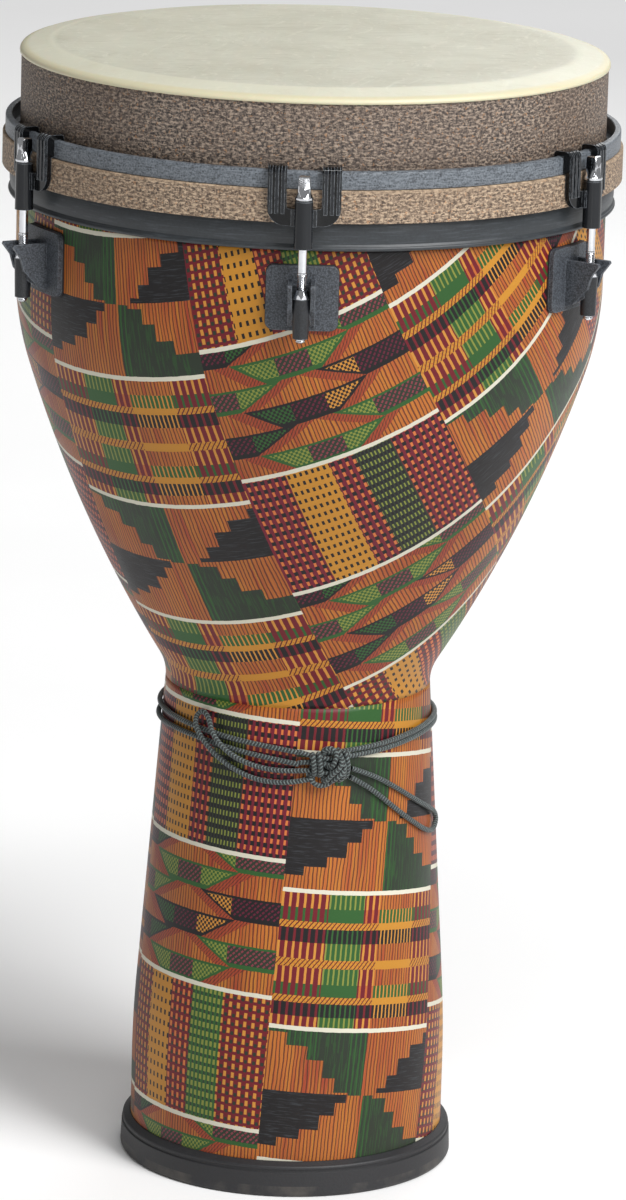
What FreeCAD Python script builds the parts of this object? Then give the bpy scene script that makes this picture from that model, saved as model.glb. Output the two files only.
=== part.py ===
"""Key-tuned djembe: a goblet shell with a synthetic head, a counterhoop and tension rods.

Millimetres. The drum stands on its foot: the origin is the middle of the base rim's
underside, +Z is up through the head, and -Y is the front, where the first lug is.
"""
import FreeCAD, Part
import math
import os

V = FreeCAD.Vector

# ---- driving dimensions --------------------------------
LUGS = 6
FRONT = -90.0                   # degrees about Z of the first lug

CLOTH = 0.4                     # printed fabric wrap
WALL = 7.0                      # fibre laminate shell
INNER = CLOTH + WALL            # depth of the shell's inner face below the fabric's outer face
FOOT_BOTTOM_Z = 4.0
FOOT_R = 83.7                   # these radii are to the fabric's outer face
FOOT_BEND_Z = 50.0
FOOT_BEND_H = 45.0
FOOT_LEAN = math.radians(4.09)
FLARE_END = (74.35, 276.0)
BELLY_END = (145.9, 432.0)
UPRIGHT_Z = 480.0
JOINT_Z = 262.0                 # bowl and foot meet at the waist
TONGUE_H = 10.0
TONGUE_R = 66.6
GLUE_GAP = 0.05                 # radial gap wherever one glued or pushed-on part meets the shell
SHOULDER_Z = 528.0              # the bowl starts to neck in here
CLOTH_TOP_Z = 521.0
NECK_R = 141.0
NECK_Z = 540.0
CREST_R = 137.0                 # the bearing edge
CREST_Z = 598.6

RIM_R = 88.9
RIM_H = 18.5
RIM_FLOOR = FOOT_BOTTOM_Z
RIM_INNER_R = 72.5
RIM_INNER_H = 12.0
RIM_TREAD_R = 2.0
RIM_GROOVE = (13.2, 14.6)       # heights between which the rim steps in below its bead
RIM_BEAD_TOP_Z = 17.0

TRIM_BOTTOM_Z = 520.6
TRIM_BEAD_R = 157.0
TRIM_STEP = (156.7, 524.0)
TRIM_BEND = (154.6, 540.2)
TRIM_TOP = (147.6, 545.6)

LIP_R = 152.4                   # outside of the head's collar: a 12 inch head
LIP_Z = 597.0
COLLAR_WALL = 2.5
SKIRT_R = 161.2
LEDGE_Z = 551.9
SKIRT_BOTTOM_Z = 535.2
FILM = 0.8
FILM_GAP = 0.3                  # the film stands clear of the collar that carries it

HOOP_R = 159.8
HOOP_WALL = 3.4
HOOP_H = 9.4
HOOP_FLANGE = 1.4

ROD_CIRCLE_R = 166.4
ROD_THREAD_R = 2.5              # M5 x 0.8
ROD_SHANK_R = 2.2
ROD_TOP_Z = 560.2
ROD_END_Z = 475.8
KEY_FLATS = 6.0
RUNNING = 0.05                  # radial clearance of a rod in its bores

HEAD_FLANGE_R = 4.7
HEAD_FLANGE_H = 1.3
JOURNAL_Z = 540.3               # the shank is thinner from here down to the thread
THREAD_TOP_Z = 511.5

SLEEVE_TOP_Z = 547.3
SLEEVE_BOTTOM_Z = 523.5
SLEEVE_R = 4.55
WASHER_H = 0.8

CLAW_HALF_W = 18.3              # middle of the bracket to the outside of a hook
CLAW_IN_HALF_W = 8.8
CLAW_BOTTOM_Z = 534.2
CLAW_WEB_TOP_Z = 542.9
CLAW_TOP_Z = 564.0
CLAW_OUT_R = 164.0
CLAW_CORNER_R = 9.0
RIB_PITCH = 3.1
RIB_HALF_W = 0.85
RIB_PROUD = 0.9
WEB_HALF_W = 6.4

LUG_TOP_Z = 506.3
PLATE_Z = (479.7, 513.2)
PLATE_HALF_W = 18.4
PLATE_T = 2.4
GASKET_T = 0.8
PLATE_CORNER_R = 4.0
BARREL_TOP_Z = 498.3
BARREL_BOTTOM_Z = 478.2
FIN_T = 2.0
FIN_YS = (-6.7, 4.7)            # the side of each fin that faces the lower Y
SPINE_HALF_W = 4.8
BARREL_R = (3.95, 4.4)
NUT_SLEEVE_R = 3.25
NUT_SLEEVE_Z = 485.0
NUT_TOP_Z = 503.0
NUT_FLATS = 7.6

SCREW_ZS = (487.5, 500.5)
SCREW_R = 1.75
SCREW_HOLE_R = 1.95
SCREW_TIP_X = 159.9
SCREW_HEAD_R = 3.5
SCREW_HEAD_H = 2.6
DRIVE_HALF_W = 1.9
WASHER_R = 5.0
SCREW_WASHER_T = 1.0

CORD_D = 2.8
CORD_GAP = 0.25                 # between a cord and the fabric or another cord
KNOT_AZ = 14.5
KNOT_Z = 232.5
KNOT_HALF_SIZES = (10.0, 5.2, 10.4)     # along the waist, out from it and upwards
KNOT_LIFT = 2.6


# ---- small helpers --------------------------------
def segments(points):
    """Straight edges through (radius, height) points."""
    corners = [V(r, 0, z) for r, z in points]
    return [Part.makeLine(a, b) for a, b in zip(corners, corners[1:])]


def arc(a, b, c):
    """An arc through three (radius, height) points."""
    return Part.Arc(*[V(r, 0, z) for r, z in (a, b, c)]).toShape()


def turned(edges, angle=360.0):
    """A solid of revolution about Z from a closed loop of edges in the XZ plane."""
    face = Part.Face(Part.Wire(Part.__sortEdges__(edges)))
    solid = face.revolve(V(0, 0, 0), V(0, 0, 1), angle)
    return solid if solid.Volume > 0 else solid.reversed()


def cylinder_z(radius, z0, z1, x=0.0, y=0.0):
    return Part.makeCylinder(radius, z1 - z0, V(x, y, z0))


def cylinder_x(radius, x0, x1, y, z):
    return Part.makeCylinder(radius, x1 - x0, V(x0, y, z), V(1, 0, 0))


def box(x0, x1, y0, y1, z0, z1):
    return Part.makeBox(x1 - x0, y1 - y0, z1 - z0, V(x0, y0, z0))


def edges_along_x(shape):
    return [e for e in shape.Edges if abs(abs(e.tangentAt(e.FirstParameter).x) - 1) < 1e-6]


def rounded_front(half_w, z0, z1, radius, x0, x1):
    """A box seen from the front, with its four corners rounded."""
    block = box(x0, x1, -half_w, half_w, z0, z1)
    return block.makeFillet(radius, edges_along_x(block))


def at_lug(shape, k):
    """A shape drawn with its outward direction along +X, moved round to lug k."""
    placed = shape.copy()
    placed.rotate(V(0, 0, 0), V(0, 0, 1), FRONT + 360.0 / LUGS * k)
    return placed


def around(shape):
    return [at_lug(shape, k) for k in range(LUGS)]


def one_solid(shape):
    """The single solid of a boolean's result, with its faces merged."""
    clean = shape.removeSplitter()
    if len(clean.Solids) != 1:
        raise ValueError(f"expected one solid and found {len(clean.Solids)}")
    return clean.Solids[0]


def cut_each(shape, tools):
    """Cut tools away one at a time, and stop if a cut takes more than its tool could."""
    for tool in tools:
        before = shape.Volume
        shape = shape.cut(tool)
        if abs(before - shape.Volume) > tool.Volume + 0.03 * before:
            raise ValueError(f"a cut took {before - shape.Volume:.1f} of {tool.Volume:.1f} mm3")
    return one_solid(shape)


def write(name, shape):
    if not shape.isValid():
        raise ValueError(f"{name} is not valid")
    shape.exportStep(f"parts/{name}.step")
    print(f"{name:24s} {len(shape.Solids):3d} solids {shape.Volume / 1000:9.2f} cm3")


# ---- the goblet's outline --------------------------------
class Span:
    """A rising line or arc of an outline in (radius, height), which knows its own offsets."""

    def __init__(self, start, direction, end=None, vertical_at=None):
        size = math.hypot(*direction)
        self.lean = math.asin(direction[0] / size)
        self.start = start
        if vertical_at is not None:
            bend = (vertical_at - start[1]) / math.sin(self.lean)
            end = (start[0] + bend * (1 - math.cos(self.lean)), vertical_at)
        self.end = end
        chord = (end[0] - start[0], end[1] - start[1])
        self.chord_lean = math.asin(chord[0] / math.hypot(*chord))
        self.end_lean = 2 * self.chord_lean - self.lean
        half = self.chord_lean - self.lean
        self.straight = abs(half) < 1e-9
        self.bulge = 0.0 if self.straight else -math.hypot(*chord) / 2 * math.tan(half / 2)

    def after(self, end=None, vertical_at=None):
        """The next span, tangent to this one."""
        return Span(self.end, self.end_direction(), end, vertical_at)

    def end_direction(self):
        return (math.sin(self.end_lean), math.cos(self.end_lean))

    def points(self, depth):
        """Start, middle and end, moved inwards by a depth along the outline's normal."""
        middle = ((self.start[0] + self.end[0]) / 2, (self.start[1] + self.end[1]) / 2)
        middle = (
            middle[0] + self.bulge * math.cos(self.chord_lean),
            middle[1] - self.bulge * math.sin(self.chord_lean),
        )
        trio = ((self.start, self.lean), (middle, self.chord_lean), (self.end, self.end_lean))
        return [(p[0] - depth * math.cos(a), p[1] + depth * math.sin(a)) for p, a in trio]

    def edge(self, depth):
        first, middle, last = self.points(depth)
        return segments([first, last])[0] if self.straight else arc(first, middle, last)


def outline_edges(spans, depth):
    return [span.edge(depth) for span in spans]


def outline_ends(spans, depth):
    return spans[0].points(depth)[0], spans[-1].points(depth)[2]


def radius_at(spans, depth, z):
    """An outline's radius where it passes a height."""
    for span in spans:
        first, middle, last = span.points(depth)
        if first[1] <= z <= last[1]:
            if span.straight:
                return first[0] + (last[0] - first[0]) * (z - first[1]) / (last[1] - first[1])
            circle = span.edge(depth).Curve
            side = 1 if first[0] > circle.Center.x else -1
            return circle.Center.x + side * math.sqrt(circle.Radius ** 2 - (z - circle.Center.z) ** 2)
    raise ValueError(f"the outline doesn't reach height {z}")


def foot_outline():
    """The fabric's outer face from inside the rim to the waist: upright, a bend, then a cone."""
    low = Span((FOOT_R, FOOT_BOTTOM_Z + 2), (0, 1), (FOOT_R, FOOT_BEND_Z))
    bend = low.after((FOOT_R - FOOT_BEND_H * math.tan(FOOT_LEAN / 2), FOOT_BEND_Z + FOOT_BEND_H))
    waist_r = bend.end[0] - (JOINT_Z - bend.end[1]) * math.tan(FOOT_LEAN)
    return [low, bend, bend.after((waist_r, JOINT_Z))]


def bowl_outline(waist):
    """The fabric's outer face above the waist: a flare, the bowl, a turn and an upright wall."""
    flare = Span(waist, (0.03, 1.0), FLARE_END)
    belly = flare.after(BELLY_END)
    turn_up = belly.after(vertical_at=UPRIGHT_Z)
    return [flare, belly, turn_up, turn_up.after((turn_up.end[0], CLOTH_TOP_Z))]


FOOT = foot_outline()
BOWL = bowl_outline(FOOT[-1].end)
BOWL_R = BOWL[-1].end[0]
SEAT_R = radius_at(BOWL, INNER, SCREW_ZS[1]) + 0.5  # the screws' washers bear on flats at this radius


def surface_r(z):
    """The fabric's outer radius at a height on the foot."""
    return radius_at(FOOT, 0, z)


# ---- shell and wraps --------------------------------
def screw_holes():
    """Radial holes through the bowl's wall, two behind each lug."""
    holes = []
    for z in SCREW_ZS:
        holes += around(cylinder_x(SCREW_HOLE_R, NECK_R - 11, BOWL_R + 5, 0, z))
    return holes


def screw_seats():
    """Small flats inside the bowl for the screws' washers."""
    seats = []
    for z in SCREW_ZS:
        seats += around(cylinder_x(WASHER_R + 0.3, SEAT_R - 20, SEAT_R, 0, z))
    return seats


def bowl_shell():
    """The bowl, its necked-in top with the bearing edge, and a socket for the foot's tongue."""
    (or0, oz0), (or1, _) = outline_ends(BOWL, CLOTH)
    (ir0, iz0), (ir1, iz1) = outline_ends(BOWL, INNER)
    neck_in = NECK_R - WALL
    outside = [(or1, CLOTH_TOP_Z), (or1, SHOULDER_Z), (NECK_R, NECK_Z), (NECK_R, CREST_Z - 5.6)]
    inside = [
        (CREST_R, CREST_Z), (neck_in, CREST_Z - 3.0), (neck_in, NECK_Z - 2.9),
        (ir1, SHOULDER_Z - 2.9), (ir1, iz1),
    ]
    edges = outline_edges(BOWL, CLOTH) + outline_edges(BOWL, INNER)
    edges += segments(outside)
    edges.append(arc(outside[-1], (140.0, CREST_Z - 2.2), inside[0]))
    edges += segments(inside)
    edges += segments([(ir0, iz0), (or0, oz0)])
    socket = cylinder_z(TONGUE_R + GLUE_GAP, JOINT_Z - 5, JOINT_Z + TONGUE_H + 0.2)
    return cut_each(turned(edges), [socket] + screw_seats() + screw_holes())


def foot_shell():
    """The foot, with a tongue that glues into the bowl's socket."""
    (or0, _), (or1, oz1) = outline_ends(FOOT, CLOTH)
    (ir0, iz0), (ir1, iz1) = outline_ends(FOOT, INNER)
    top = JOINT_Z + TONGUE_H
    edges = outline_edges(FOOT, CLOTH) + outline_edges(FOOT, INNER)
    edges += segments([(or0, iz0), (or0, FOOT_BOTTOM_Z), (ir0, FOOT_BOTTOM_Z), (ir0, iz0)])
    edges += segments([(or1, oz1), (TONGUE_R, oz1), (TONGUE_R, top), (ir1, top), (ir1, iz1)])
    return turned(edges)


def skin(spans):
    """A fabric wrap: the outline and the same outline one cloth thickness deeper."""
    (or0, oz0), (or1, oz1) = outline_ends(spans, 0)
    (ir0, iz0), (ir1, iz1) = outline_ends(spans, CLOTH)
    edges = outline_edges(spans, 0) + outline_edges(spans, CLOTH)
    edges += segments([(or1, oz1), (ir1, iz1)])
    edges += segments([(ir0, iz0), (or0, oz0)])
    return turned(edges)


def bowl_wrap():
    return cut_each(skin(BOWL), screw_holes())


def foot_wrap():
    return skin(FOOT)


def base_rim():
    """A rubber channel under the foot, with a rounded tread and a beaded lip."""
    foot_r = FOOT_R + GLUE_GAP
    inner_r = FOOT_R - INNER - GLUE_GAP
    tread_r = RIM_R - RIM_TREAD_R
    bulge = RIM_TREAD_R * (1 - math.sqrt(0.5))
    groove_r = RIM_R - 1.3
    low, high = RIM_GROOVE
    bead_end = (RIM_R - 2.0, RIM_BEAD_TOP_Z)
    edges = [arc((tread_r, 0), (RIM_R - bulge, bulge), (RIM_R, RIM_TREAD_R))]
    edges += segments([(RIM_R, RIM_TREAD_R), (RIM_R - 0.5, low), (groove_r, low + 0.6), (groove_r, high)])
    edges.append(arc((groove_r, high), (RIM_R - 1.0, RIM_BEAD_TOP_Z - 1), bead_end))
    edges += segments([
        bead_end, (foot_r + 0.7, RIM_H), (foot_r, RIM_H), (foot_r, RIM_FLOOR),
        (inner_r, RIM_FLOOR), (inner_r, RIM_INNER_H), (RIM_INNER_R + 1.0, RIM_INNER_H),
        (RIM_INNER_R, RIM_INNER_H - 1.0), (RIM_INNER_R, 1.0), (RIM_INNER_R + 1.0, 0), (tread_r, 0),
    ])
    return turned(edges)


def shoulder_ring():
    """A black trim ring that covers the fabric's top edge and the bowl's shoulder."""
    inside_r = BOWL_R + GLUE_GAP
    shoulder_r = BOWL_R - CLOTH + GLUE_GAP
    neck_r = NECK_R + GLUE_GAP
    bead_low = (TRIM_BEAD_R, TRIM_BOTTOM_Z)
    bead_high = (TRIM_BEAD_R + 0.3, TRIM_BOTTOM_Z + 2.3)
    edges = [arc(bead_low, (TRIM_BEAD_R + 0.9, TRIM_BOTTOM_Z + 1.0), bead_high)]
    edges += segments([bead_high, TRIM_STEP])
    edges.append(arc(TRIM_STEP, (TRIM_BEAD_R + 0.2, 531.0), TRIM_BEND))
    edges.append(arc(TRIM_BEND, (152.0, 544.2), TRIM_TOP))
    edges += segments([
        TRIM_TOP, (neck_r, TRIM_TOP[1]), (neck_r, NECK_Z + GLUE_GAP),
        (shoulder_r, SHOULDER_Z + GLUE_GAP), (shoulder_r, CLOTH_TOP_Z + 0.4),
        (inside_r, CLOTH_TOP_Z + 0.4), (inside_r, TRIM_BOTTOM_Z), bead_low,
    ])
    return turned(edges)


# ---- the head and its hoop --------------------------------
def drumhead_film():
    """The playing film: flat inside the bearing edge, sloping to the lip and turned down over it."""
    top = CREST_Z + FILM
    edge = LIP_R + 0.6
    under = LIP_Z - FILM
    hem = under - 2.6
    bend_in = (LIP_R - 3.0, under)
    bend_out = (LIP_R - 2.9, LIP_Z)
    edges = segments([(0, CREST_Z), (CREST_R, CREST_Z), bend_in])
    edges.append(arc(bend_in, (LIP_R - 0.75, under - 0.75), (LIP_R, hem)))
    edges += segments([(LIP_R, hem), (edge, hem)])
    edges.append(arc((edge, hem), (edge - 0.75, LIP_Z - 0.9), bend_out))
    edges += segments([bend_out, (CREST_R, top), (0, top), (0, CREST_Z)])
    return turned(edges)


def head_collar():
    """The head's stiff collar: a wall, a ledge that the counterhoop presses on, and a skirt."""
    outer = LIP_R - FILM_GAP
    lip = LIP_Z - FILM - FILM_GAP
    inner = LIP_R - COLLAR_WALL
    skirt_in = SKIRT_R - COLLAR_WALL
    edges = [arc((outer, lip - 2.6), (outer - 0.75, lip - 0.75), (outer - 3.0, lip))]
    edges += segments([
        (outer - 3.0, lip), (inner - 2.0, lip), (inner - 2.0, lip - 1.6), (inner, lip - 4.0),
        (inner, LEDGE_Z - COLLAR_WALL), (skirt_in, LEDGE_Z - COLLAR_WALL),
        (skirt_in, SKIRT_BOTTOM_Z), (SKIRT_R - 0.3, SKIRT_BOTTOM_Z), (SKIRT_R, SKIRT_BOTTOM_Z + 0.3),
        (SKIRT_R, LEDGE_Z - 0.5), (SKIRT_R - 0.5, LEDGE_Z), (outer, LEDGE_Z), (outer, lip - 2.6),
    ])
    return turned(edges)


def counterhoop():
    """A flat steel band with an inward flange along its lower edge."""
    z0 = LEDGE_Z
    z1 = z0 + HOOP_H
    inner = HOOP_R - HOOP_WALL
    flange_r = LIP_R + 0.8
    edge_r = 1.3
    edge_mid = edge_r * (1 - math.sqrt(0.5))
    edges = segments([(HOOP_R - 0.4, z0), (HOOP_R, z0 + 0.4), (HOOP_R, z1 - edge_r)])
    edges.append(arc((HOOP_R, z1 - edge_r), (HOOP_R - edge_mid, z1 - edge_mid), (HOOP_R - edge_r, z1)))
    edges += segments([
        (HOOP_R - edge_r, z1), (inner + 0.4, z1), (inner, z1 - 0.4), (inner, z0 + HOOP_FLANGE),
        (flange_r, z0 + HOOP_FLANGE), (flange_r, z0), (HOOP_R - 0.4, z0),
    ])
    return turned(edges)


# ---- tension hardware, drawn with its outward direction along +X --------------------------------
def wedge(edges, half_angle):
    """A turned profile that spans an angle to both sides of the +X direction."""
    solid = turned(edges, 2 * half_angle)
    solid.rotate(V(0, 0, 0), V(0, 0, 1), -half_angle)
    return solid


def quarter_arc(start, end, corner):
    """A quarter circle from start to end, both one radius from the corner that it rounds."""
    share = 1 - math.sqrt(0.5)
    middle = [c + (a + b - 2 * c) * share for a, b, c in zip(start, end, corner)]
    return arc(start, middle, end)


def claw_profile(outer_r):
    """A hook over the hoop and a strap that runs down outside the skirt."""
    hoop_top = LEDGE_Z + HOOP_H
    hoop_in = HOOP_R - HOOP_WALL - GLUE_GAP
    back_r = HOOP_R - HOOP_WALL - 1.9
    strap_in = SKIRT_R + 0.25
    front = (outer_r, CLAW_TOP_Z - 3.2)
    top_front = (outer_r - 3.2, CLAW_TOP_Z)
    top_back = (back_r + 1.8, CLAW_TOP_Z)
    back = (back_r, CLAW_TOP_Z - 1.8)
    edges = [quarter_arc(front, top_front, (outer_r, CLAW_TOP_Z))]
    edges += segments([top_front, top_back])
    edges.append(quarter_arc(top_back, back, (back_r, CLAW_TOP_Z)))
    edges += segments([
        back, (back_r, hoop_top - 4.2), (hoop_in, hoop_top - 4.2), (hoop_in, hoop_top + GLUE_GAP),
        (HOOP_R + GLUE_GAP, hoop_top + GLUE_GAP), (HOOP_R + GLUE_GAP, LEDGE_Z + 1.4),
        (strap_in, LEDGE_Z + 0.4), (strap_in, CLAW_BOTTOM_Z), (outer_r, CLAW_BOTTOM_Z), front,
    ])
    return edges


def bracket():
    """Two hooks joined by a web to a round sleeve that guides the tension rod."""
    inside, outside = LIP_R - 12, ROD_CIRCLE_R + 14
    front_r = HOOP_R + 2
    half_angle = math.degrees(math.asin(CLAW_HALF_W / front_r)) + 0.4
    outline = rounded_front(CLAW_HALF_W, CLAW_BOTTOM_Z, CLAW_TOP_Z + 12, CLAW_CORNER_R, inside, outside)
    strap = wedge(claw_profile(CLAW_OUT_R), half_angle).common(outline)
    window = box(inside, outside, -CLAW_IN_HALF_W, CLAW_IN_HALF_W, CLAW_WEB_TOP_Z, CLAW_TOP_Z + 5)
    low = [e for e in edges_along_x(window) if e.CenterOfMass.z < CLAW_WEB_TOP_Z + 1]
    strap = strap.cut(window.makeFillet(1.2, low))
    rib_y = CLAW_HALF_W - 0.9
    rib_zone = box(inside, outside, -rib_y, rib_y, CLAW_BOTTOM_Z + 6.0, CLAW_TOP_Z + 2)
    ribs = []
    middle = (CLAW_HALF_W + CLAW_IN_HALF_W) / 2
    proud = claw_profile(CLAW_OUT_R + RIB_PROUD)
    for offset in [side * middle + step * RIB_PITCH for side in (-1, 1) for step in (-1, 0, 1)]:
        rib = wedge(proud, math.degrees(RIB_HALF_W / HOOP_R))
        rib.rotate(V(0, 0, 0), V(0, 0, 1), math.degrees(math.asin(offset / front_r)))
        ribs.append(rib.common(rib_zone))
    web_out = ROD_CIRCLE_R - 0.8
    web = box(SKIRT_R + 0.35, web_out, -WEB_HALF_W, WEB_HALF_W, CLAW_BOTTOM_Z, CLAW_WEB_TOP_Z)
    foot = V(ROD_CIRCLE_R, 0, SLEEVE_BOTTOM_Z)
    sleeve = Part.makeCone(SLEEVE_R + 0.15, SLEEVE_R, SLEEVE_TOP_Z - SLEEVE_BOTTOM_Z, foot)
    body = strap.fuse(ribs + [web, sleeve])
    return one_solid(body.cut(rod_bore()))


def rod_bore():
    return cylinder_z(ROD_THREAD_R + RUNNING, ROD_END_Z - 6, ROD_TOP_Z + 20, ROD_CIRCLE_R)


def rod_washer():
    ring = cylinder_z(SLEEVE_R - 0.15, SLEEVE_TOP_Z, SLEEVE_TOP_Z + WASHER_H, ROD_CIRCLE_R)
    return ring.cut(rod_bore())


def tension_rod():
    """A square-headed key rod: flange, cone, square, journal, shank and thread."""
    x = ROD_CIRCLE_R
    seat = SLEEVE_TOP_Z + WASHER_H
    cone_z = seat + HEAD_FLANGE_H
    flange = cylinder_z(HEAD_FLANGE_R, seat, cone_z, x)
    half = KEY_FLATS / 2
    cone = Part.makeCone(half + 1.0, half, 4.3, V(x, 0, cone_z))
    square = box(x - half, x + half, -half, half, seat + 3.0, ROD_TOP_Z)
    crown_z = ROD_TOP_Z - 3.4
    crown = Part.makeCone(half + 1.6, half - 0.5, ROD_TOP_Z - crown_z, V(x, 0, crown_z))
    crown = crown.fuse(cylinder_z(half + 1.6, seat, crown_z, x))
    square = square.common(crown)
    journal = cylinder_z(ROD_THREAD_R, JOURNAL_Z, seat + 0.5, x)
    shank = cylinder_z(ROD_SHANK_R, THREAD_TOP_Z - 0.5, JOURNAL_Z + 0.5, x)
    thread = cylinder_z(ROD_THREAD_R, ROD_END_Z + 0.8, THREAD_TOP_Z, x)
    tip = Part.makeCone(ROD_THREAD_R - 0.7, ROD_THREAD_R, 0.8, V(x, 0, ROD_END_Z))
    return one_solid(flange.fuse([cone, square, journal, shank, thread, tip]))


def surface_solid(depth):
    """The bowl's upper part filled to its axis, at a depth inside the fabric's face."""
    upper = BOWL[2:]
    start, end = outline_ends(upper, depth)
    edges = outline_edges(upper, depth)
    edges += segments([end, (0, end[1]), (0, start[1]), start])
    solid = turned(edges)
    solid.rotate(V(0, 0, 0), V(0, 0, 1), 180)
    return solid


def lug_gasket():
    low, high = PLATE_Z
    pad = rounded_front(PLATE_HALF_W, low, high, PLATE_CORNER_R, BOWL_R - 8, BOWL_R + 12)
    pad = pad.common(surface_solid(-GASKET_T)).cut(surface_solid(0))
    holes = [cylinder_x(SCREW_HOLE_R, BOWL_R - 13, BOWL_R + 17, 0, z) for z in SCREW_ZS]
    return cut_each(pad, holes)


def upright_sheet(profile, y, thickness):
    """A flat piece in an XZ plane, from (x, z) points, that starts at a Y."""
    sheet = Part.Face(Part.Wire(segments(profile + profile[:1]))).extrude(V(0, thickness, 0))
    sheet.translate(V(0, y, 0))
    return sheet


def lug():
    """A plate, two gusset fins and a barrel for the nut."""
    x = ROD_CIRCLE_R
    low, high = PLATE_Z
    plate = rounded_front(PLATE_HALF_W - 0.3, low + 0.3, high - 0.3, PLATE_CORNER_R, BOWL_R - 8, x + 4)
    plate = plate.common(surface_solid(-GASKET_T - PLATE_T)).cut(surface_solid(-GASKET_T))
    plate = one_solid(plate)
    front = max(plate.Faces, key=lambda f: f.CenterOfMass.x)
    plate = plate.makeFillet(0.3, front.Edges)
    root = BOWL_R + 1.6
    heel = [(x - 5.4, 483.8), (root, 482.0)]
    fin_profile = [
        (root, LUG_TOP_Z), (x + 8.4, LUG_TOP_Z), (x + 9.0, LUG_TOP_Z - 1.2), (x + 4.6, 499.4),
        (x + 2.6, 492.5), *heel,
    ]
    fins = [upright_sheet(fin_profile, y, FIN_T) for y in FIN_YS]
    mouth = BARREL_TOP_Z - 0.3
    step = SCREW_TIP_X + 1.0
    spine_profile = [(root, 503.5), (step, 503.5), (step, mouth), (x, mouth), (x, 487.5), *heel]
    spine = upright_sheet(spine_profile, -SPINE_HALF_W, 2 * SPINE_HALF_W)
    barrel = Part.makeCone(*BARREL_R, BARREL_TOP_Z - BARREL_BOTTOM_Z, V(x, 0, BARREL_BOTTOM_Z))
    body = plate.fuse(fins + [spine, barrel])
    above = BARREL_TOP_Z + 20
    cuts = [cylinder_z(NUT_SLEEVE_R + 0.1, NUT_SLEEVE_Z - 0.2, above, x)]
    cuts.append(cylinder_z(ROD_THREAD_R + 0.35, BARREL_BOTTOM_Z - 8, above, x))
    cuts += [cylinder_x(SCREW_R + RUNNING, BOWL_R - 13, SCREW_TIP_X + 0.6, 0, z) for z in SCREW_ZS]
    return cut_each(body, [surface_solid(-GASKET_T)] + cuts)


def lug_nut():
    """A flanged swivel nut: a hexagon on the barrel's mouth and a threaded sleeve inside it."""
    x = ROD_CIRCLE_R
    height = NUT_TOP_Z - BARREL_TOP_Z
    corner = NUT_FLATS / 2 / math.cos(math.radians(30))
    turns = [math.radians(60 * i) for i in range(7)]
    ring = [V(x + corner * math.cos(t), corner * math.sin(t), BARREL_TOP_Z) for t in turns]
    hexagon = Part.Face(Part.makePolygon(ring)).extrude(V(0, 0, height))
    dome = Part.makeCone(corner, corner - 1.2, height, V(x, 0, BARREL_TOP_Z))
    sleeve = cylinder_z(NUT_SLEEVE_R, NUT_SLEEVE_Z, BARREL_TOP_Z + 0.5, x)
    nut = hexagon.common(dome).fuse(sleeve)
    return one_solid(nut.cut(rod_bore()))


def lug_screw(z):
    """A pan-head screw from inside the bowl, with its head towards the axis."""
    base_x = SEAT_R - SCREW_WASHER_T
    top_x = base_x - SCREW_HEAD_H
    head = cylinder_x(SCREW_HEAD_R, top_x, base_x, 0, z)
    head = head.makeFillet(1.1, [e for e in head.Edges if abs(e.CenterOfMass.x - top_x) < 1e-6])
    shank = cylinder_x(SCREW_R, base_x - 0.5, SCREW_TIP_X, 0, z)
    arm, half = DRIVE_HALF_W, 0.4
    drive = box(top_x - 0.1, top_x + 1.5, -arm, arm, z - half, z + half)
    cross = box(top_x - 0.1, top_x + 1.5, -half, half, z - arm, z + arm)
    return one_solid(head.fuse(shank).cut([drive, cross]))


def screw_washer(z):
    disc = cylinder_x(WASHER_R, SEAT_R - SCREW_WASHER_T, SEAT_R, 0, z)
    return disc.cut(cylinder_x(SCREW_HOLE_R, SEAT_R - 20, SEAT_R + 10, 0, z))


# ---- the cord round the waist --------------------------------
# Routes are (azimuth from the front towards +X in degrees, height, lift above the fabric).
# Two turns run from the knot round the waist and back to it; two bights leave the knot.
TURN_STEP = 20.0                # degrees between the points of a turn that would close on itself
TURN_SHARE = 352 / 360          # how much of the way round a turn goes, knot to knot
UPPER_TURN_Z = [
    238.6, 240.2, 242.8, 244.4, 244.6, 244.2, 244.6, 245.4, 246.4, 247.2, 247.8, 248.0, 247.6,
    247.0, 247.4, 246.8, 245.2, 242.6, 239.6,
]
LOWER_TURN_Z = [
    235.4, 237.1, 239.7, 241.3, 241.5, 241.1, 241.3, 242.0, 242.8, 243.2, 243.0, 242.4, 241.2,
    240.0, 240.6, 241.4, 240.2, 236.8, 233.4,
]
LEFT_BIGHT = [
    (9, 226.2, 1.6), (2, 223.9, 0.6), (-6, 222.8, 0.0), (-14, 223.6, 0.0), (-21.5, 226.3, 0.2),
    (-28, 230.4, 1.0), (-33.5, 235.4, 2.6), (-38, 240.8, 3.4), (-42.3, 246.4, 3.4),
    (-44.0, 251.8, 2.0), (-40.6, 256.0, 1.2), (-36.4, 252.0, 2.0), (-34.2, 246.2, 3.4),
    (-30.0, 240.2, 3.2), (-24.6, 235.4, 2.4), (-17.6, 231.6, 1.0), (-9.5, 229.6, 0.4),
    (-1.0, 229.4, 0.6), (7.0, 230.4, 1.6),
]
RIGHT_BIGHT = [
    (24.0, 230.6, 1.6), (30.5, 227.2, 0.8), (38.5, 222.2, 0.2), (47.0, 215.6, 0.0),
    (55.0, 209.2, 0.0), (62.5, 203.6, 0.2), (69.5, 199.0, 0.4), (76.0, 194.6, 0.6),
    (78.2, 189.0, 0.6), (72.8, 184.9, 0.4), (65.5, 188.0, 0.2), (58.5, 193.4, 0.0),
    (51.0, 199.8, 0.0), (43.5, 207.4, 0.0), (36.5, 214.8, 0.2), (30.0, 221.0, 0.6),
    (23.5, 226.0, 1.4),
]


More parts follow.
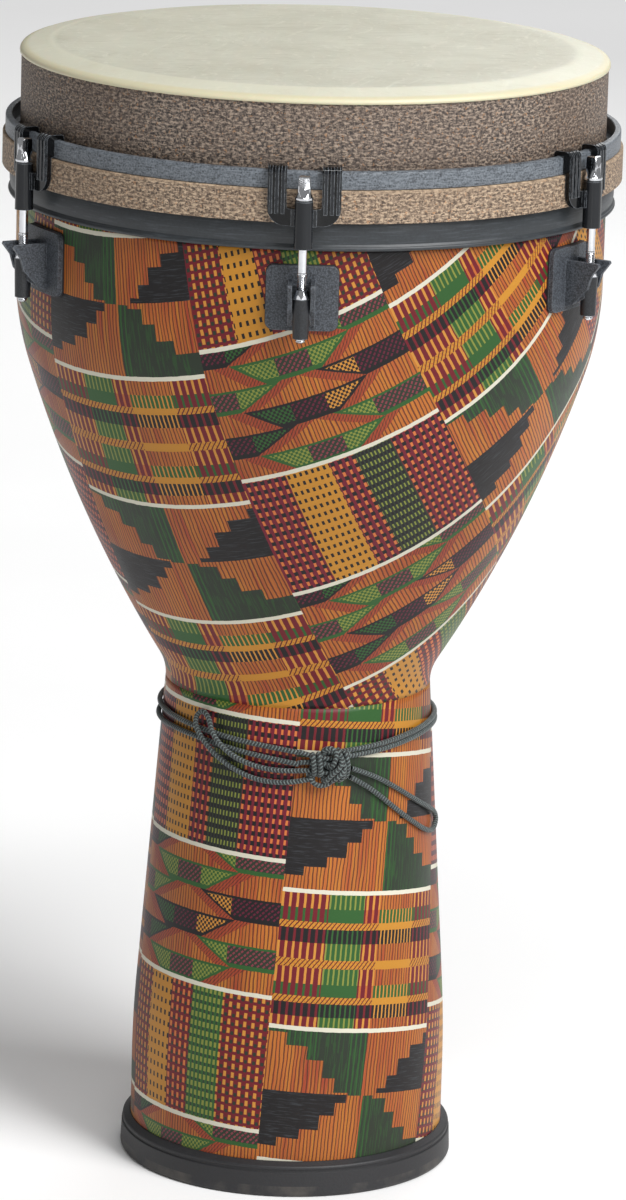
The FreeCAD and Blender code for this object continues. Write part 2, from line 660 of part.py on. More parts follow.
def on_waist(azimuth, z, lift):
    """A cord centre point that stands off the fabric by its own radius and a lift."""
    r = surface_r(z) + CORD_D / 2 + CORD_GAP + lift
    angle = math.radians(azimuth)
    return V(r * math.sin(angle), -r * math.cos(angle), z)


def turn_points(heights):
    """Points of one turn, set out so that its straight runs clear the fabric."""
    spread = 1 / math.cos(math.radians(TURN_STEP / 2))
    points = []
    for i, z in enumerate(heights):
        azimuth = KNOT_AZ - 4 + TURN_STEP * TURN_SHARE * i
        p = on_waist(azimuth, z, 0)
        points.append(V(p.x * spread, p.y * spread, p.z))
    return points


def cord_tube(name, points, diameter):
    """A round tube along straight runs joined by tangent arcs, as large as the runs allow."""
    edges = []
    radii = []
    start = points[0]
    for before, corner, after in zip(points, points[1:], points[2:]):
        back, on = before - corner, after - corner
        half_turn = (math.pi - back.getAngle(on)) / 2
        reach = 0.45 * min(back.Length, on.Length)
        radii.append(reach / math.tan(half_turn))
        back.normalize()
        on.normalize()
        first = corner + back * reach
        last = corner + on * reach
        middle_way = back + on
        middle_way.normalize()
        centre_distance = radii[-1] / math.cos(half_turn)
        middle = corner + middle_way * (centre_distance - radii[-1])
        edges.append(Part.LineSegment(start, first).toShape())
        edges.append(Part.Arc(first, middle, last).toShape())
        start = last
    edges.append(Part.LineSegment(start, points[-1]).toShape())
    path = Part.Wire(edges)
    direction = points[1] - points[0]
    ring = Part.Wire(Part.makeCircle(diameter / 2, points[0], direction))
    tube = path.makePipeShell([ring], True, False)
    print(f"{name}: length {path.Length:.0f}, bend radii {min(radii):.1f} to {max(radii):.1f}")
    return tube


def knot():
    """The knot's outer shape: a flattened lump that rests on the fabric."""
    middle = on_waist(KNOT_AZ, KNOT_Z, KNOT_LIFT)
    lump = Part.makeSphere(1.0)
    scale = FreeCAD.Matrix()
    scale.scale(V(*KNOT_HALF_SIZES))
    lump = lump.transformGeometry(scale)
    lump.rotate(V(0, 0, 0), V(0, 0, 1), KNOT_AZ)
    lump.translate(middle)
    core = cylinder_z(surface_r(KNOT_Z - KNOT_HALF_SIZES[2]) + 0.2, KNOT_Z - 30, KNOT_Z + 30)
    return one_solid(lump.cut(core))


# ---- write the nodes --------------------------------
def main():
    os.makedirs("parts", exist_ok=True)
    write("bowl_shell", bowl_shell())
    write("foot_shell", foot_shell())
    write("bowl_wrap", bowl_wrap())
    write("foot_wrap", foot_wrap())
    write("base_rim", base_rim())
    write("shoulder_ring", shoulder_ring())
    write("drumhead_film", drumhead_film())
    write("head_collar", head_collar())
    write("counterhoop", counterhoop())
    for name, shape in (
        ("bracket", bracket()), ("tension_rod", tension_rod()),
        ("lug", lug()), ("lug_gasket", lug_gasket()),
    ):
        for k, placed in enumerate(around(shape), start=1):
            write(f"{name}_{k}", placed)
    write("rod_washers", Part.makeCompound(around(rod_washer())))
    write("lug_nuts", Part.makeCompound(around(lug_nut())))
    screws = [placed for z in SCREW_ZS for placed in around(lug_screw(z))]
    write("lug_screws", Part.makeCompound(screws))
    washers = [placed for z in SCREW_ZS for placed in around(screw_washer(z))]
    write("screw_washers", Part.makeCompound(washers))
    routes = {
        "cord_upper_turn": turn_points(UPPER_TURN_Z),
        "cord_lower_turn": turn_points(LOWER_TURN_Z),
        "cord_left_bight": [on_waist(*p) for p in LEFT_BIGHT],
        "cord_right_bight": [on_waist(*p) for p in RIGHT_BIGHT],
    }
    for name, points in routes.items():
        write(name, cord_tube(name, points, CORD_D))
    write("cord_knot", knot())


main()
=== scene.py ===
"""Looks of a key-tuned djembe: printed cloth, fibre head, cast hardware and a braided cord.

Metres. Lengths named in mm are turned into metres by MM where a mesh is made.
"""
import math

import bpy
from mathutils import Matrix, Vector, noise


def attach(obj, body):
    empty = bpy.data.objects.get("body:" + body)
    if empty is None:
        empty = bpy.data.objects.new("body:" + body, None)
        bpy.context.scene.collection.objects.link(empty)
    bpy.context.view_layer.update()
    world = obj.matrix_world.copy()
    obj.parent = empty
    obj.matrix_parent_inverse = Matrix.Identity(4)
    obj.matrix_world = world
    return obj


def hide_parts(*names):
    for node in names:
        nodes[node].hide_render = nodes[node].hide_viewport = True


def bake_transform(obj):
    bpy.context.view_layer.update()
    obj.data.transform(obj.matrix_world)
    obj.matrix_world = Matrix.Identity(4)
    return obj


MM = 0.001
TAU = 2 * math.pi

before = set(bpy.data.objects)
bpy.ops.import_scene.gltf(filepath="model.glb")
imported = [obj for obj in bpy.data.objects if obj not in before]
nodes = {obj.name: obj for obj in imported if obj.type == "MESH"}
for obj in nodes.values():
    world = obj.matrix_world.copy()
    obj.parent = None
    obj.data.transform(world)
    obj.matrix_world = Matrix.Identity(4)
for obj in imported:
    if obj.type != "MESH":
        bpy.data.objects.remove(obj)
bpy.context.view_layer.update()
scene = bpy.context.scene
scene.view_settings.view_transform = "Standard"


def link(obj):
    scene.collection.objects.link(obj)
    return obj


# ---- camera ----------------------------------------------------------------------------------
CAMERA_AT = Vector((0.0676, -3.1763, 1.0986))
CAMERA_PITCH = math.radians(-14.06)
CAMERA_YAW = math.radians(1.095)
CAMERA_ROLL = math.radians(1.657)
CAMERA_LENS = 185.6


def place_camera():
    camera = link(bpy.data.objects.new("camera", bpy.data.cameras.new("camera")))
    camera.data.lens = CAMERA_LENS
    camera.data.clip_end = 20.0
    turn = Matrix.Rotation(CAMERA_YAW, 3, "Z") @ Matrix.Rotation(CAMERA_PITCH, 3, "X")
    level_right = turn @ Vector((1, 0, 0))
    level_up = turn @ Vector((0, 0, 1))
    forward = turn @ Vector((0, 1, 0))
    cos, sin = math.cos(CAMERA_ROLL), math.sin(CAMERA_ROLL)
    right = cos * level_right + sin * level_up
    up = cos * level_up - sin * level_right
    axes = Matrix((right, up, -forward)).transposed().to_4x4()
    camera.matrix_world = Matrix.Translation(CAMERA_AT) @ axes
    scene.camera = camera


place_camera()


# ---- outline of the fabric's outer face, in mm -----------------------------------------------
FOOT_R = 83.7
FOOT_LOW_Z = 6.0
FOOT_BEND_Z = 50.0
FOOT_BEND_H = 45.0
FOOT_LEAN = math.radians(4.09)
JOINT_Z = 262.0
FLARE_START_LEAN = math.atan2(0.03, 1.0)
FLARE_END = (74.35, 276.0)
BELLY_END = (145.9, 432.0)
UPRIGHT_Z = 480.0
CLOTH_TOP_Z = 521.0
CONE_R = FOOT_R - FOOT_BEND_H * math.tan(FOOT_LEAN / 2)
CONE_Z = FOOT_BEND_Z + FOOT_BEND_H


def cone_r(z):
    """The fabric's radius at a height on the foot's cone."""
    return CONE_R - (z - CONE_Z) * math.tan(FOOT_LEAN)


def arc_points(start, lean, end, step):
    """Points of the arc from start to end that leaves at a lean from the vertical, and its last lean."""
    rise, out = end[1] - start[1], end[0] - start[0]
    chord = math.hypot(rise, out)
    turn = 2 * (math.atan2(out, rise) - lean)
    count = max(1, round(chord / step))
    if abs(turn) < 1e-6:
        steps = range(1, count + 1)
        return [(start[0] + out * i / count, start[1] + rise * i / count) for i in steps], lean
    bend = chord / (2 * math.sin(turn / 2))
    points = []
    for i in range(1, count + 1):
        now = lean + turn * i / count
        points.append((
            start[0] + bend * (math.cos(lean) - math.cos(now)),
            start[1] + bend * (math.sin(now) - math.sin(lean)),
        ))
    return points, lean + turn


def outline(start, lean, ends, step=3.0):
    points = [start]
    for end in ends:
        more, lean = arc_points(points[-1], lean, end, step)
        points += more
    return points, lean


def foot_outline():
    bend_end = (CONE_R, CONE_Z)
    waist = (cone_r(JOINT_Z), JOINT_Z)
    return outline((FOOT_R, FOOT_LOW_Z), 0.0, [(FOOT_R, FOOT_BEND_Z), bend_end, waist])[0]


def bowl_outline():
    waist = (cone_r(JOINT_Z), JOINT_Z)
    points, lean = outline(waist, FLARE_START_LEAN, [FLARE_END, BELLY_END])
    bend = (UPRIGHT_Z - BELLY_END[1]) / math.sin(lean)
    upright_r = BELLY_END[0] + bend * (1 - math.cos(lean))
    more = outline(points[-1], lean, [(upright_r, UPRIGHT_Z), (upright_r, CLOTH_TOP_Z)])[0]
    return points + more[1:]


# ---- node trees ------------------------------------------------------------------------------
def linear(red, green, blue):
    """A colour given in 0 to 255 display values, as the shader's linear numbers."""
    return tuple(
        c / 255 / 12.92 if c / 255 <= 0.04045 else ((c / 255 + 0.055) / 1.055) ** 2.4
        for c in (red, green, blue)
    )


class Num:
    """A value in a material's node tree. Arithmetic on it adds Math nodes."""

    def __init__(self, tree, socket):
        self.tree = tree
        self.socket = socket

    def math(self, kind, *others, clamp=False):
        node = self.tree.nodes.new("ShaderNodeMath")
        node.operation = kind
        node.use_clamp = clamp
        for place, value in zip(node.inputs, (self, *others)):
            if isinstance(value, Num):
                self.tree.links.new(value.socket, place)
            else:
                place.default_value = value
        return Num(self.tree, node.outputs[0])

    def __add__(self, other):
        return self.math("ADD", other)

    def __sub__(self, other):
        return self.math("SUBTRACT", other)

    def __mul__(self, other):
        return self.math("MULTIPLY", other)

    def __truediv__(self, other):
        return self.math("DIVIDE", other)

    def __lt__(self, other):
        return self.math("LESS_THAN", other)

    def __gt__(self, other):
        return self.math("GREATER_THAN", other)

    def __and__(self, other):
        return self.math("MULTIPLY", other)

    def __or__(self, other):
        return self.math("MAXIMUM", other)

    def __invert__(self):
        return (self * -1.0) + 1.0

    def part(self):
        return self.math("FRACT")

    def whole(self):
        return self.math("FLOOR")

    def size(self):
        return self.math("ABSOLUTE")

    def between(self, low, high):
        return (self > low) & (self < high)

    def smooth(self, low, high):
        """0 below low, 1 above high and a straight ramp between them."""
        return ((self - low) / (high - low)).math("ADD", 0.0, clamp=True)


class Paint:
    """A material's tree, with short ways to add the nodes that patterns are made of."""

    def __init__(self, name):
        self.material = bpy.data.materials.new(name)
        self.material.use_nodes = True
        self.tree = self.material.node_tree
        self.shader = self.tree.nodes["Principled BSDF"]
        self.here = None

    def node(self, kind, **settings):
        made = self.tree.nodes.new(kind)
        for key, value in settings.items():
            setattr(made, key, value)
        return made

    def join(self, value, place):
        """Links a Num or a socket to an input, or sets a plain value on it."""
        if isinstance(value, Num):
            self.tree.links.new(value.socket, place)
        elif isinstance(value, bpy.types.NodeSocket):
            self.tree.links.new(value, place)
        elif hasattr(value, "__len__") and len(value) == 3 and place.type == "RGBA":
            place.default_value = (*value, 1.0)
        else:
            place.default_value = value

    def place(self):
        """Object coordinates, which are the row frame in metres."""
        if self.here is None:
            self.here = self.node("ShaderNodeTexCoord").outputs["Object"]
        return self.here

    def axes(self, vector=None):
        split = self.node("ShaderNodeSeparateXYZ")
        self.join(vector or self.place(), split.inputs[0])
        return [Num(self.tree, out) for out in split.outputs]

    def uv(self, name):
        return self.axes(self.node("ShaderNodeUVMap", uv_map=name).outputs["UV"])[:2]

    def vector(self, x, y, z=0.0):
        made = self.node("ShaderNodeCombineXYZ")
        for value, place in zip((x, y, z), made.inputs):
            self.join(value, place)
        return made.outputs[0]

    def noise(self, scale, detail=2.0, rough=0.5, vector=None):
        made = self.node("ShaderNodeTexNoise")
        self.join(vector or self.place(), made.inputs["Vector"])
        made.inputs["Scale"].default_value = scale
        made.inputs["Detail"].default_value = detail
        made.inputs["Roughness"].default_value = rough
        return Num(self.tree, made.outputs["Fac"])

    def cells(self, scale, vector=None):
        made = self.node("ShaderNodeTexVoronoi")
        self.join(vector or self.place(), made.inputs["Vector"])
        made.inputs["Scale"].default_value = scale
        return Num(self.tree, made.outputs["Distance"])

    def mix(self, mask, under, over):
        made = self.node("ShaderNodeMix", data_type="RGBA")
        self.join(mask, made.inputs[0])
        self.join(under, made.inputs[6])
        self.join(over, made.inputs[7])
        return made.outputs[2]

    def mix_number(self, mask, low, high):
        """low where the mask is 0 and high where it is 1."""
        return low + mask * (high - low)

    def bands(self, value, stops):
        """A colour that changes at each stop, (where from, colour), with no blend between."""
        made = self.node("ShaderNodeValToRGB")
        made.color_ramp.interpolation = "CONSTANT"
        elements = made.color_ramp.elements
        elements.remove(elements[1])
        elements[0].position = stops[0][0]
        elements[0].color = (*stops[0][1], 1.0)
        for where, colour in stops[1:]:
            elements.new(where).color = (*colour, 1.0)
        self.join(value, made.inputs[0])
        return made.outputs[0]

    def ladder(self, value, stops, full):
        """A number that changes at each stop, (where from, number)."""
        greys = [(where, (number / full,) * 3) for where, number in stops]
        return Num(self.tree, self.bands(value, greys)) * full

    def edges(self, radius):
        """0 on flat faces, rising towards 1 at sharp edges."""
        made = self.node("ShaderNodeBevel", samples=6)
        made.inputs["Radius"].default_value = radius
        true = self.node("ShaderNodeNewGeometry").outputs["Normal"]
        dot = self.node("ShaderNodeVectorMath", operation="DOT_PRODUCT")
        self.tree.links.new(made.outputs[0], dot.inputs[0])
        self.tree.links.new(true, dot.inputs[1])
        return ~Num(self.tree, dot.outputs["Value"])

    def bump(self, height, distance, strength=1.0, after=None):
        made = self.node("ShaderNodeBump")
        self.join(height, made.inputs["Height"])
        made.inputs["Distance"].default_value = distance
        made.inputs["Strength"].default_value = strength
        if after is not None:
            self.tree.links.new(after, made.inputs["Normal"])
        return made.outputs[0]

    def finish(self, colour, rough, normal=None, **fixed):
        self.join(colour, self.shader.inputs["Base Color"])
        self.join(rough, self.shader.inputs["Roughness"])
        if normal is not None:
            self.tree.links.new(normal, self.shader.inputs["Normal"])
        for key, value in fixed.items():
            self.shader.inputs[key.replace("_", " ")].default_value = value
        return self.material


# ---- the printed cloth -----------------------------------------------------------------------
STRIP_W = 104.5                 # mm across one printed strip
BLOCK_H = 73.7                  # mm down one block, white line included
WHITE_LINE = 2.3
STRIP_SHIFT = 128.5             # puts the strips' edges where the print has them

ORANGE = linear(196, 104, 44)
GOLD = linear(206, 142, 44)
RUST = linear(166, 60, 38)
DARK_THREAD = linear(84, 34, 26)
MAROON = linear(114, 16, 32)
YELLOW = linear(214, 146, 58)
GREEN = linear(42, 94, 40)
DARK_GREEN = linear(38, 52, 38)
LIME = linear(138, 146, 62)
BLACK = linear(15, 17, 20)
GREY_THREAD = linear(74, 80, 86)
WHITE = linear(232, 228, 208)
PINK_ORANGE = linear(222, 124, 62)
PLUM = linear(98, 20, 48)
CRIMSON = linear(118, 20, 44)
DUSTY_RED = linear(136, 58, 70)
DARK_RED = linear(96, 22, 26)


def by_width(*columns):
    """Stops given in mm across a strip, as shares of its width."""
    return [(where / STRIP_W, what) for where, what in columns]


def ground(p, sheet_x, sheet_y):
    """Orange cloth: upright threads, golden with darker lines, and redder in places."""
    zone = p.noise(1.0, 2.0, 0.6, p.vector(sheet_x / 24.0, sheet_y / 90.0)).smooth(0.38, 0.62)
    streak = p.noise(1.0, 1.0, 0.5, p.vector(sheet_x / 1.4, sheet_y / 60.0)).smooth(0.3, 0.7)
    base = p.mix(zone, ORANGE, RUST)
    base = p.mix(streak * 0.6, base, GOLD)
    drift = p.noise(1.0, 1.0, 0.5, p.vector(sheet_x / 9.0, sheet_y / 34.0)) * 1.3
    thread = ((sheet_x / 2.05) + drift).part() < 0.34
    return p.mix(thread * 0.85, base, DARK_THREAD)


def greens(p, across, sheet_x, sheet_y):
    """Dark green cloth with bright upright threads in two zones."""
    lively = (across < 27.0) | across.between(46.0, 64.0)
    lines = (sheet_x / 2.9).part() < 0.3
    fleck = p.noise(1.0, 1.0, 0.5, p.vector(sheet_x / 0.9, sheet_y / 16.0)) > 0.56
    cloth = p.mix(fleck * 0.45, DARK_GREEN, GREEN)
    return p.mix(lines & lively, cloth, GREEN)


def blacks(p, sheet_x, sheet_y):
    """Black cloth with a few level grey threads."""
    fleck = p.noise(1.0, 2.0, 0.6, p.vector(sheet_x / 11.0, sheet_y / 0.7)).smooth(0.54, 0.66)
    return p.mix(fleck * 0.5, BLACK, GREY_THREAD)


def pyramids(p, share, down, orange, green, black):
    """Stepped shapes that meet at the middle of the block."""
    upper_left = p.ladder(share, by_width(
        (0, 3.9), (10.2, 10.6), (21.7, 17.8), (31.7, 27.2), (38.9, 35.0), (47.8, 36.5), (56.0, 0.0),
    ), 100.0)
    upper_right = p.ladder(share, by_width(
        (0, 99.0), (66.1, 32.8), (72.2, 26.1), (79.4, 17.2), (88.9, 10.6), (101.0, 5.0),
    ), 100.0)
    lower_left = p.ladder(share, by_width(
        (0, 66.7), (10.0, 61.7), (22.2, 56.1), (32.8, 47.8), (41.1, 40.6), (47.2, 0.0),
    ), 100.0)
    lower_right = p.ladder(share, by_width(
        (0, 99.0), (57.2, 36.5), (63.9, 38.3), (73.3, 46.1), (80.5, 55.0), (91.0, 62.2),
    ), 100.0)
    is_green = (down < upper_left) | (down > lower_right)
    is_black = (upper_right.math("LESS_THAN", down) & (down < 35.4)) | ((down > 36.0) & (down < lower_left))
    return p.mix(is_black, p.mix(is_green, orange, green), black)


STRIPE_COLUMNS = (0, 26.0, 46.7, 57.0, 83.3)


def five_columns(*values):
    """One value for each column of the striped blocks."""
    return by_width(*zip(STRIPE_COLUMNS, values))


def stripes(p, share, across, down, orange):
    """Rows of barred cloth in five columns."""
    pitch = p.ladder(share, five_columns(4.0, 2.9, 4.0, 2.55, 4.0), 8.0)
    bar = (across / pitch).part() < 0.34
    bar_base = p.bands(share, by_width((0, MAROON), (26.0, GREEN), (46.7, MAROON)))
    bar_over = p.bands(share, by_width((0, YELLOW), (26.0, LIME), (46.7, YELLOW)))
    long_bars = p.mix(bar, bar_base, bar_over)
    long_bars = p.mix(across.between(57.0, 83.3), long_bars, orange)
    short_base = p.bands(share, five_columns(MAROON, GREEN, MAROON, GREEN, MAROON))
    short_over = p.bands(share, five_columns(GREEN, GREEN, ORANGE, YELLOW, GREEN))
    short_bars = p.mix(bar, short_base, short_over)
    night_over = p.bands(share, five_columns(MAROON, GREEN, MAROON, YELLOW, MAROON))
    night_bars = p.mix(bar, BLACK, night_over)
    twist = ((across / 2.6) + (down / 3.4)).part()
    untwist = ((across / 2.6) - (down / 3.4)).part()
    twisted = p.mix((twist < 0.3) & ~across.between(57.0, 83.3), GOLD, DARK_RED)
    twisted = p.mix((untwist < 0.24) & ~across.between(57.0, 83.3) & (twist > 0.5), twisted, ORANGE)
    kind = p.ladder(down / BLOCK_H, [(where / BLOCK_H, what) for where, what in (
        (0, 0), (10.0, 1), (17.2, 2), (21.0, 3), (28.3, 0), (37.2, 2), (42.0, 0), (50.5, 1),
        (57.2, 2), (60.9, 3), (68.0, 0),
    )], 4.0)
    shown = p.mix(kind > 0.5, long_bars, short_bars)
    shown = p.mix(kind > 1.5, shown, twisted)
    return p.mix(kind > 2.5, shown, night_bars)


def basket(p, share, across, down, columns):
    """Threads with dashes between them.

    columns: (from, pitch, thread share, thread, odd, even, dot, row height, even share). The even
    dashes are slimmer than the odd ones, and the dots sit on the threads.
    """
    def by_column(n):
        return by_width(*[(c[0], c[n]) for c in columns])

    pitch = p.ladder(share, by_column(1), 8.0)
    width = p.ladder(share, by_column(2), 1.0)
    row = p.ladder(share, by_column(7), 8.0)
    even_share = p.ladder(share, by_column(8), 1.0)
    thread, odd, even, dot = [p.bands(share, by_column(n)) for n in range(3, 7)]
    at = (across / pitch).part()
    on_thread = at < width
    slim = at.math("LESS_THAN", (width * 0.4) + 0.6)
    is_even = (down / row).part() < even_share
    dashes = p.mix(is_even, odd, p.mix(slim, thread, even))
    middle = (at > 0.12) & (at < (width - 0.12))
    small = (((down / row) + 0.28).part() < 0.42) & middle
    return p.mix(on_thread, dashes, p.mix(small, thread, dot))


BASKET_A = (
    (0, 3.6, 0.42, CRIMSON, BLACK, PINK_ORANGE, CRIMSON, 5.3, 0.52),
    (22.0, 3.0, 0.56, GOLD, BLACK, GOLD, GOLD, 5.3, 0.54),
    (44.0, 3.6, 0.42, CRIMSON, BLACK, PINK_ORANGE, CRIMSON, 5.3, 0.52),
    (57.0, 2.0, 0.36, DARK_GREEN, BLACK, LIME, DARK_GREEN, 5.3, 0.52),
    (76.7, 3.6, 0.42, CRIMSON, BLACK, PINK_ORANGE, CRIMSON, 5.3, 0.52),
)
BASKET_B = (
    (0, 4.6, 0.62, MAROON, YELLOW, MAROON, DARK_GREEN, 4.75, 0.38),
    (22.0, 3.8, 0.6, GOLD, BLACK, GOLD, GOLD, 6.0, 0.55),
    (41.5, 4.0, 0.6, MAROON, PINK_ORANGE, MAROON, DARK_GREEN, 4.75, 0.38),
    (57.5, 2.7, 0.45, GREEN, LIME, DARK_GREEN, GREEN, 4.75, 0.4),
    (77.0, 4.6, 0.62, MAROON, YELLOW, MAROON, DARK_GREEN, 4.75, 0.38),
)


def feathers(p, share, across, down, orange):
    """Slanted shapes in six rows: orange ones, and black or green ones with checks and dots."""
    rows = (down + 1.9) / 12.8
    row = rows.whole()
    t = rows.part()
    odd = (row * 0.5).part() > 0.25
    left = (t * -25.5) + 38.3 + odd * ((t * 42.0) - 24.3)
    right = (t * 23.3) + 56.1 + odd * ((t * -43.3) + 23.9)
    inside = (across > left) & (across < right)
    patterned = (odd - inside).size() < 0.5
    middle_row = row.between(1.5, 2.5)
    right_half = across > 52.0
    side_green = (middle_row - right_half).size()
    green_shape = p.mix_number(odd, side_green, ~row.between(2.5, 3.5))
    base = p.mix(green_shape, BLACK, GREEN)
    rim = ((across - left).size() < 2.4) | ((across - right).size() < 2.4) | (t > 0.82) | (t < 0.1)
    check_zone = (across.between(13.5, 38.0) | across.between(56.0, 77.0)) & ~rim
    dot_zone = ~(across.between(13.5, 38.0) | across.between(56.0, 77.0)) & ~rim
    check = (((across / 2.6).part() > 0.5) - ((down / 2.8).part() > 0.5)).size()
    dots = (((across + down) / 3.2).part() < 0.45) & (((across - down) / 3.2).part() < 0.7)
    check_over = p.mix(green_shape, p.mix(right_half, GREEN, YELLOW), LIME)
    shape = p.mix(check & check_zone, base, check_over)
    dotted = p.mix(dots, p.mix(green_shape, BLACK, DARK_GREEN), p.mix(green_shape, PLUM, DUSTY_RED))
    shape = p.mix(dot_zone, shape, dotted)
    near_end = ((across - left).size() < 9.0) | ((across - right).size() < 9.0)
    hatch = ((across + down * 0.8) / 1.9).part() < 0.36
    red_end = p.mix(hatch, RUST, DARK_THREAD)
    return p.mix(patterned, p.mix(near_end * 0.8, orange, red_end), shape)


def printed_cloth():
    p = Paint("printed_cloth")
    sheet_x, sheet_y = p.uv("sheet")
    sheet_x, sheet_y = sheet_x * 1000.0, sheet_y * 1000.0
    ripple = (p.noise(260.0, 1.0) - 0.5) * 0.5
    sheet_x, sheet_y = sheet_x + ripple, sheet_y + ripple * -1.0
    cell = (sheet_x + STRIP_SHIFT) / STRIP_W
    strip = cell.whole()
    share = cell.part()
    across = share * STRIP_W
    # each strip's blocks start at their own height: (strip number, height of a line)
    start = p.ladder((strip + 0.5) / 16.0, [(n / 16.0, y) for n, y in (
        (0, 440.0), (1, 427.5), (2, 440.0), (3, 430.7), (4, 440.0), (10, 438.7), (11, 424.0), (12, 434.8),
    )], 500.0)
    depth = (start - sheet_y) / BLOCK_H
    block = depth.whole()
    down = depth.part() * BLOCK_H
    orange = ground(p, sheet_x, sheet_y)
    green = greens(p, across, sheet_x, sheet_y)
    black = blacks(p, sheet_x, sheet_y)
    odd_strip = (strip * 0.5).part() > 0.25
    odd_block = (block * 0.5).part().size() > 0.25
    third_block = ((block * 0.25) + 8.0).part().between(0.375, 0.625)
    basket_a = basket(p, share, across, down, BASKET_A)
    basket_b = basket(p, share, across, down, BASKET_B)
    steps = pyramids(p, share, down, orange, green, black)
    plain = p.mix(odd_block, steps, stripes(p, share, across, down, orange))
    woven = p.mix(third_block, basket_b, basket_a)
    woven = p.mix(odd_block, woven, feathers(p, share, across, down, orange))
    colour = p.mix(odd_strip, woven, plain)
    colour = p.mix(down < WHITE_LINE, colour, WHITE)
    shade = p.noise(9.0, 3.0).smooth(0.3, 0.75)
    colour = p.mix((shade * 0.2) + 0.16, colour, linear(30, 18, 14))
    weave_across = ((sheet_x / 0.55).part() - 0.5).size()
    weave_down = ((sheet_y / 0.62).part() - 0.5).size()
    weave = (weave_across + weave_down) + p.noise(900.0, 2.0)
    colour = p.mix(weave_across * 0.35, colour, linear(24, 14, 10))
    normal = p.bump(weave, 0.00006, 0.6)
    normal = p.bump(p.noise(60.0, 2.0), 0.0006, 0.35, normal)
    rough = (p.noise(34.0, 3.0) * 0.22) + 0.34
    return p.finish(colour, rough, normal, Coat_Weight=0.06, Coat_Roughness=0.28, Specular_IOR_Level=0.26)


LUGS = 6
ROD_CIRCLE = 166.4


# ---- other materials -------------------------------------------------------------------------
def lug_axis_distance(p):
    """Distance from the nearest lug's own upright axis, the lugs being evenly spaced."""
    x, y, z = p.axes()
    radius = ((x * x) + (y * y)).math("SQRT")
    step = TAU / LUGS
    fold = (((y.math("ARCTAN2", x) + math.radians(90)) / step + 0.5).part() - 0.5) * step
    off = (radius * fold.math("COSINE")) - ROD_CIRCLE * MM
    side = radius * fold.math("SINE")
    return ((off * off) + (side * side)).math("SQRT")


def pebbled_casting():
    """Powder-coated casting: grey and pebbled, with a painted highlight along its edges, and smooth black
    barrels.
    """
    p = Paint("pebbled_casting")
    pebble = p.cells(1150.0)
    grain = p.noise(2600.0, 2.0)
    barrel = lug_axis_distance(p).smooth(0.0051, 0.0047)
    edge_patches = (p.edges(0.0007) * 3.0).smooth(0.05, 0.7) & p.noise(380.0, 3.0).smooth(0.3, 0.6)
    colour = p.mix(pebble.smooth(0.1, 0.75), linear(88, 94, 102), linear(44, 47, 52))
    colour = p.mix(grain * 0.35, colour, linear(26, 27, 30))
    colour = p.mix(barrel * 0.8, colour, linear(16, 17, 19))
    # painted highlight: patches along the edges are lightened to pale grey
    colour = p.mix(edge_patches * 0.7, colour, linear(138, 144, 152))
    height = (pebble + grain * 0.4) & ((barrel * -0.7) + 1.0)
    rough = (grain * 0.2) + ((barrel * -0.16) + 0.42)
    return p.finish(colour, rough, p.bump(height, 0.00022, 0.8), Specular_IOR_Level=0.5)


BRACKET_FACE_R = 0.1641
BRACKET_RIB_R = 0.1648


def gloss_black():
    """Gloss black enamel, with a painted highlight at its edges, and a little greyer on the brackets' ribs
    as a painted highlight.
    """
    p = Paint("gloss_black")
    flow = p.noise(130.0, 2.0)
    dust = p.noise(900.0, 4.0, 0.7).smooth(0.55, 0.8)
    x, y, z = p.axes()
    radius = ((x * x) + (y * y)).math("SQRT")
    edge_patches = (p.edges(0.0006) * 3.0).smooth(0.05, 0.6) & p.noise(500.0, 3.0).smooth(0.3, 0.6)
    colour = p.mix(flow, linear(5, 6, 7), linear(12, 13, 15))
    # painted highlight: the ribs, standing out past the faces, are greyer than the grooves between them
    colour = p.mix(radius.smooth(BRACKET_FACE_R, BRACKET_RIB_R), colour, linear(30, 32, 35))
    # painted highlight: patches along the edges are lightened to pale grey
    colour = p.mix(edge_patches * 0.75, colour, linear(138, 144, 150))
    normal = p.bump(flow, 0.0003, 0.2)
    rough = (dust * 0.2) + 0.1
    return p.finish(colour, rough, normal, Coat_Weight=0.12, Coat_Roughness=0.05, Specular_IOR_Level=0.28)


def hoop_coating():
    """The hoop's textured powder coat, greyer where light catches its fine grain."""
    p = Paint("hoop_coating")
    x, y, z = p.axes()
    around = y.math("ARCTAN2", x) * 0.16
    grain = p.noise(1100.0, 3.0, 0.6)
    streaks_and_sheen = p.noise(1.0, 3.0, 0.6, p.vector(around * 160.0, z * 1500.0))
    edge_patches = (p.edges(0.0006) * 3.0).smooth(0.1, 0.8) & p.noise(300.0, 3.0).smooth(0.3, 0.6)
    # painted sheen: the paler greys of the grain and of the streaks round the hoop stand for light catching
    # the coat
    colour = p.mix(grain.smooth(0.38, 0.62), linear(44, 48, 53), linear(106, 112, 119))
    colour = p.mix(streaks_and_sheen.smooth(0.42, 0.62) * 0.5, colour, linear(126, 133, 140))
    # the edges are darker, in patches
    colour = p.mix(edge_patches * 0.6, colour, linear(36, 38, 42))
    return p.finish(colour, (grain * 0.2) + 0.32, p.bump(grain + streaks_and_sheen, 0.0002, 0.6))


def ring_plastic():
    """Moulded black plastic with faint scuffs that run round it."""
    p = Paint("ring_plastic")
    x, y, z = p.axes()
    round_way = y.math("ARCTAN2", x)
    scuff = p.noise(1.0, 4.0, 0.7, p.vector(round_way * 9.0, z * 900.0)).smooth(0.52, 0.75)
    dust = p.noise(700.0, 3.0, 0.7)
    colour = p.mix(dust, linear(28, 31, 34), linear(52, 57, 61))
    colour = p.mix(scuff * 0.35, colour, linear(96, 103, 110))
    return p.finish(colour, (dust * 0.18) + 0.34, p.bump(dust + scuff, 0.0001, 0.4))


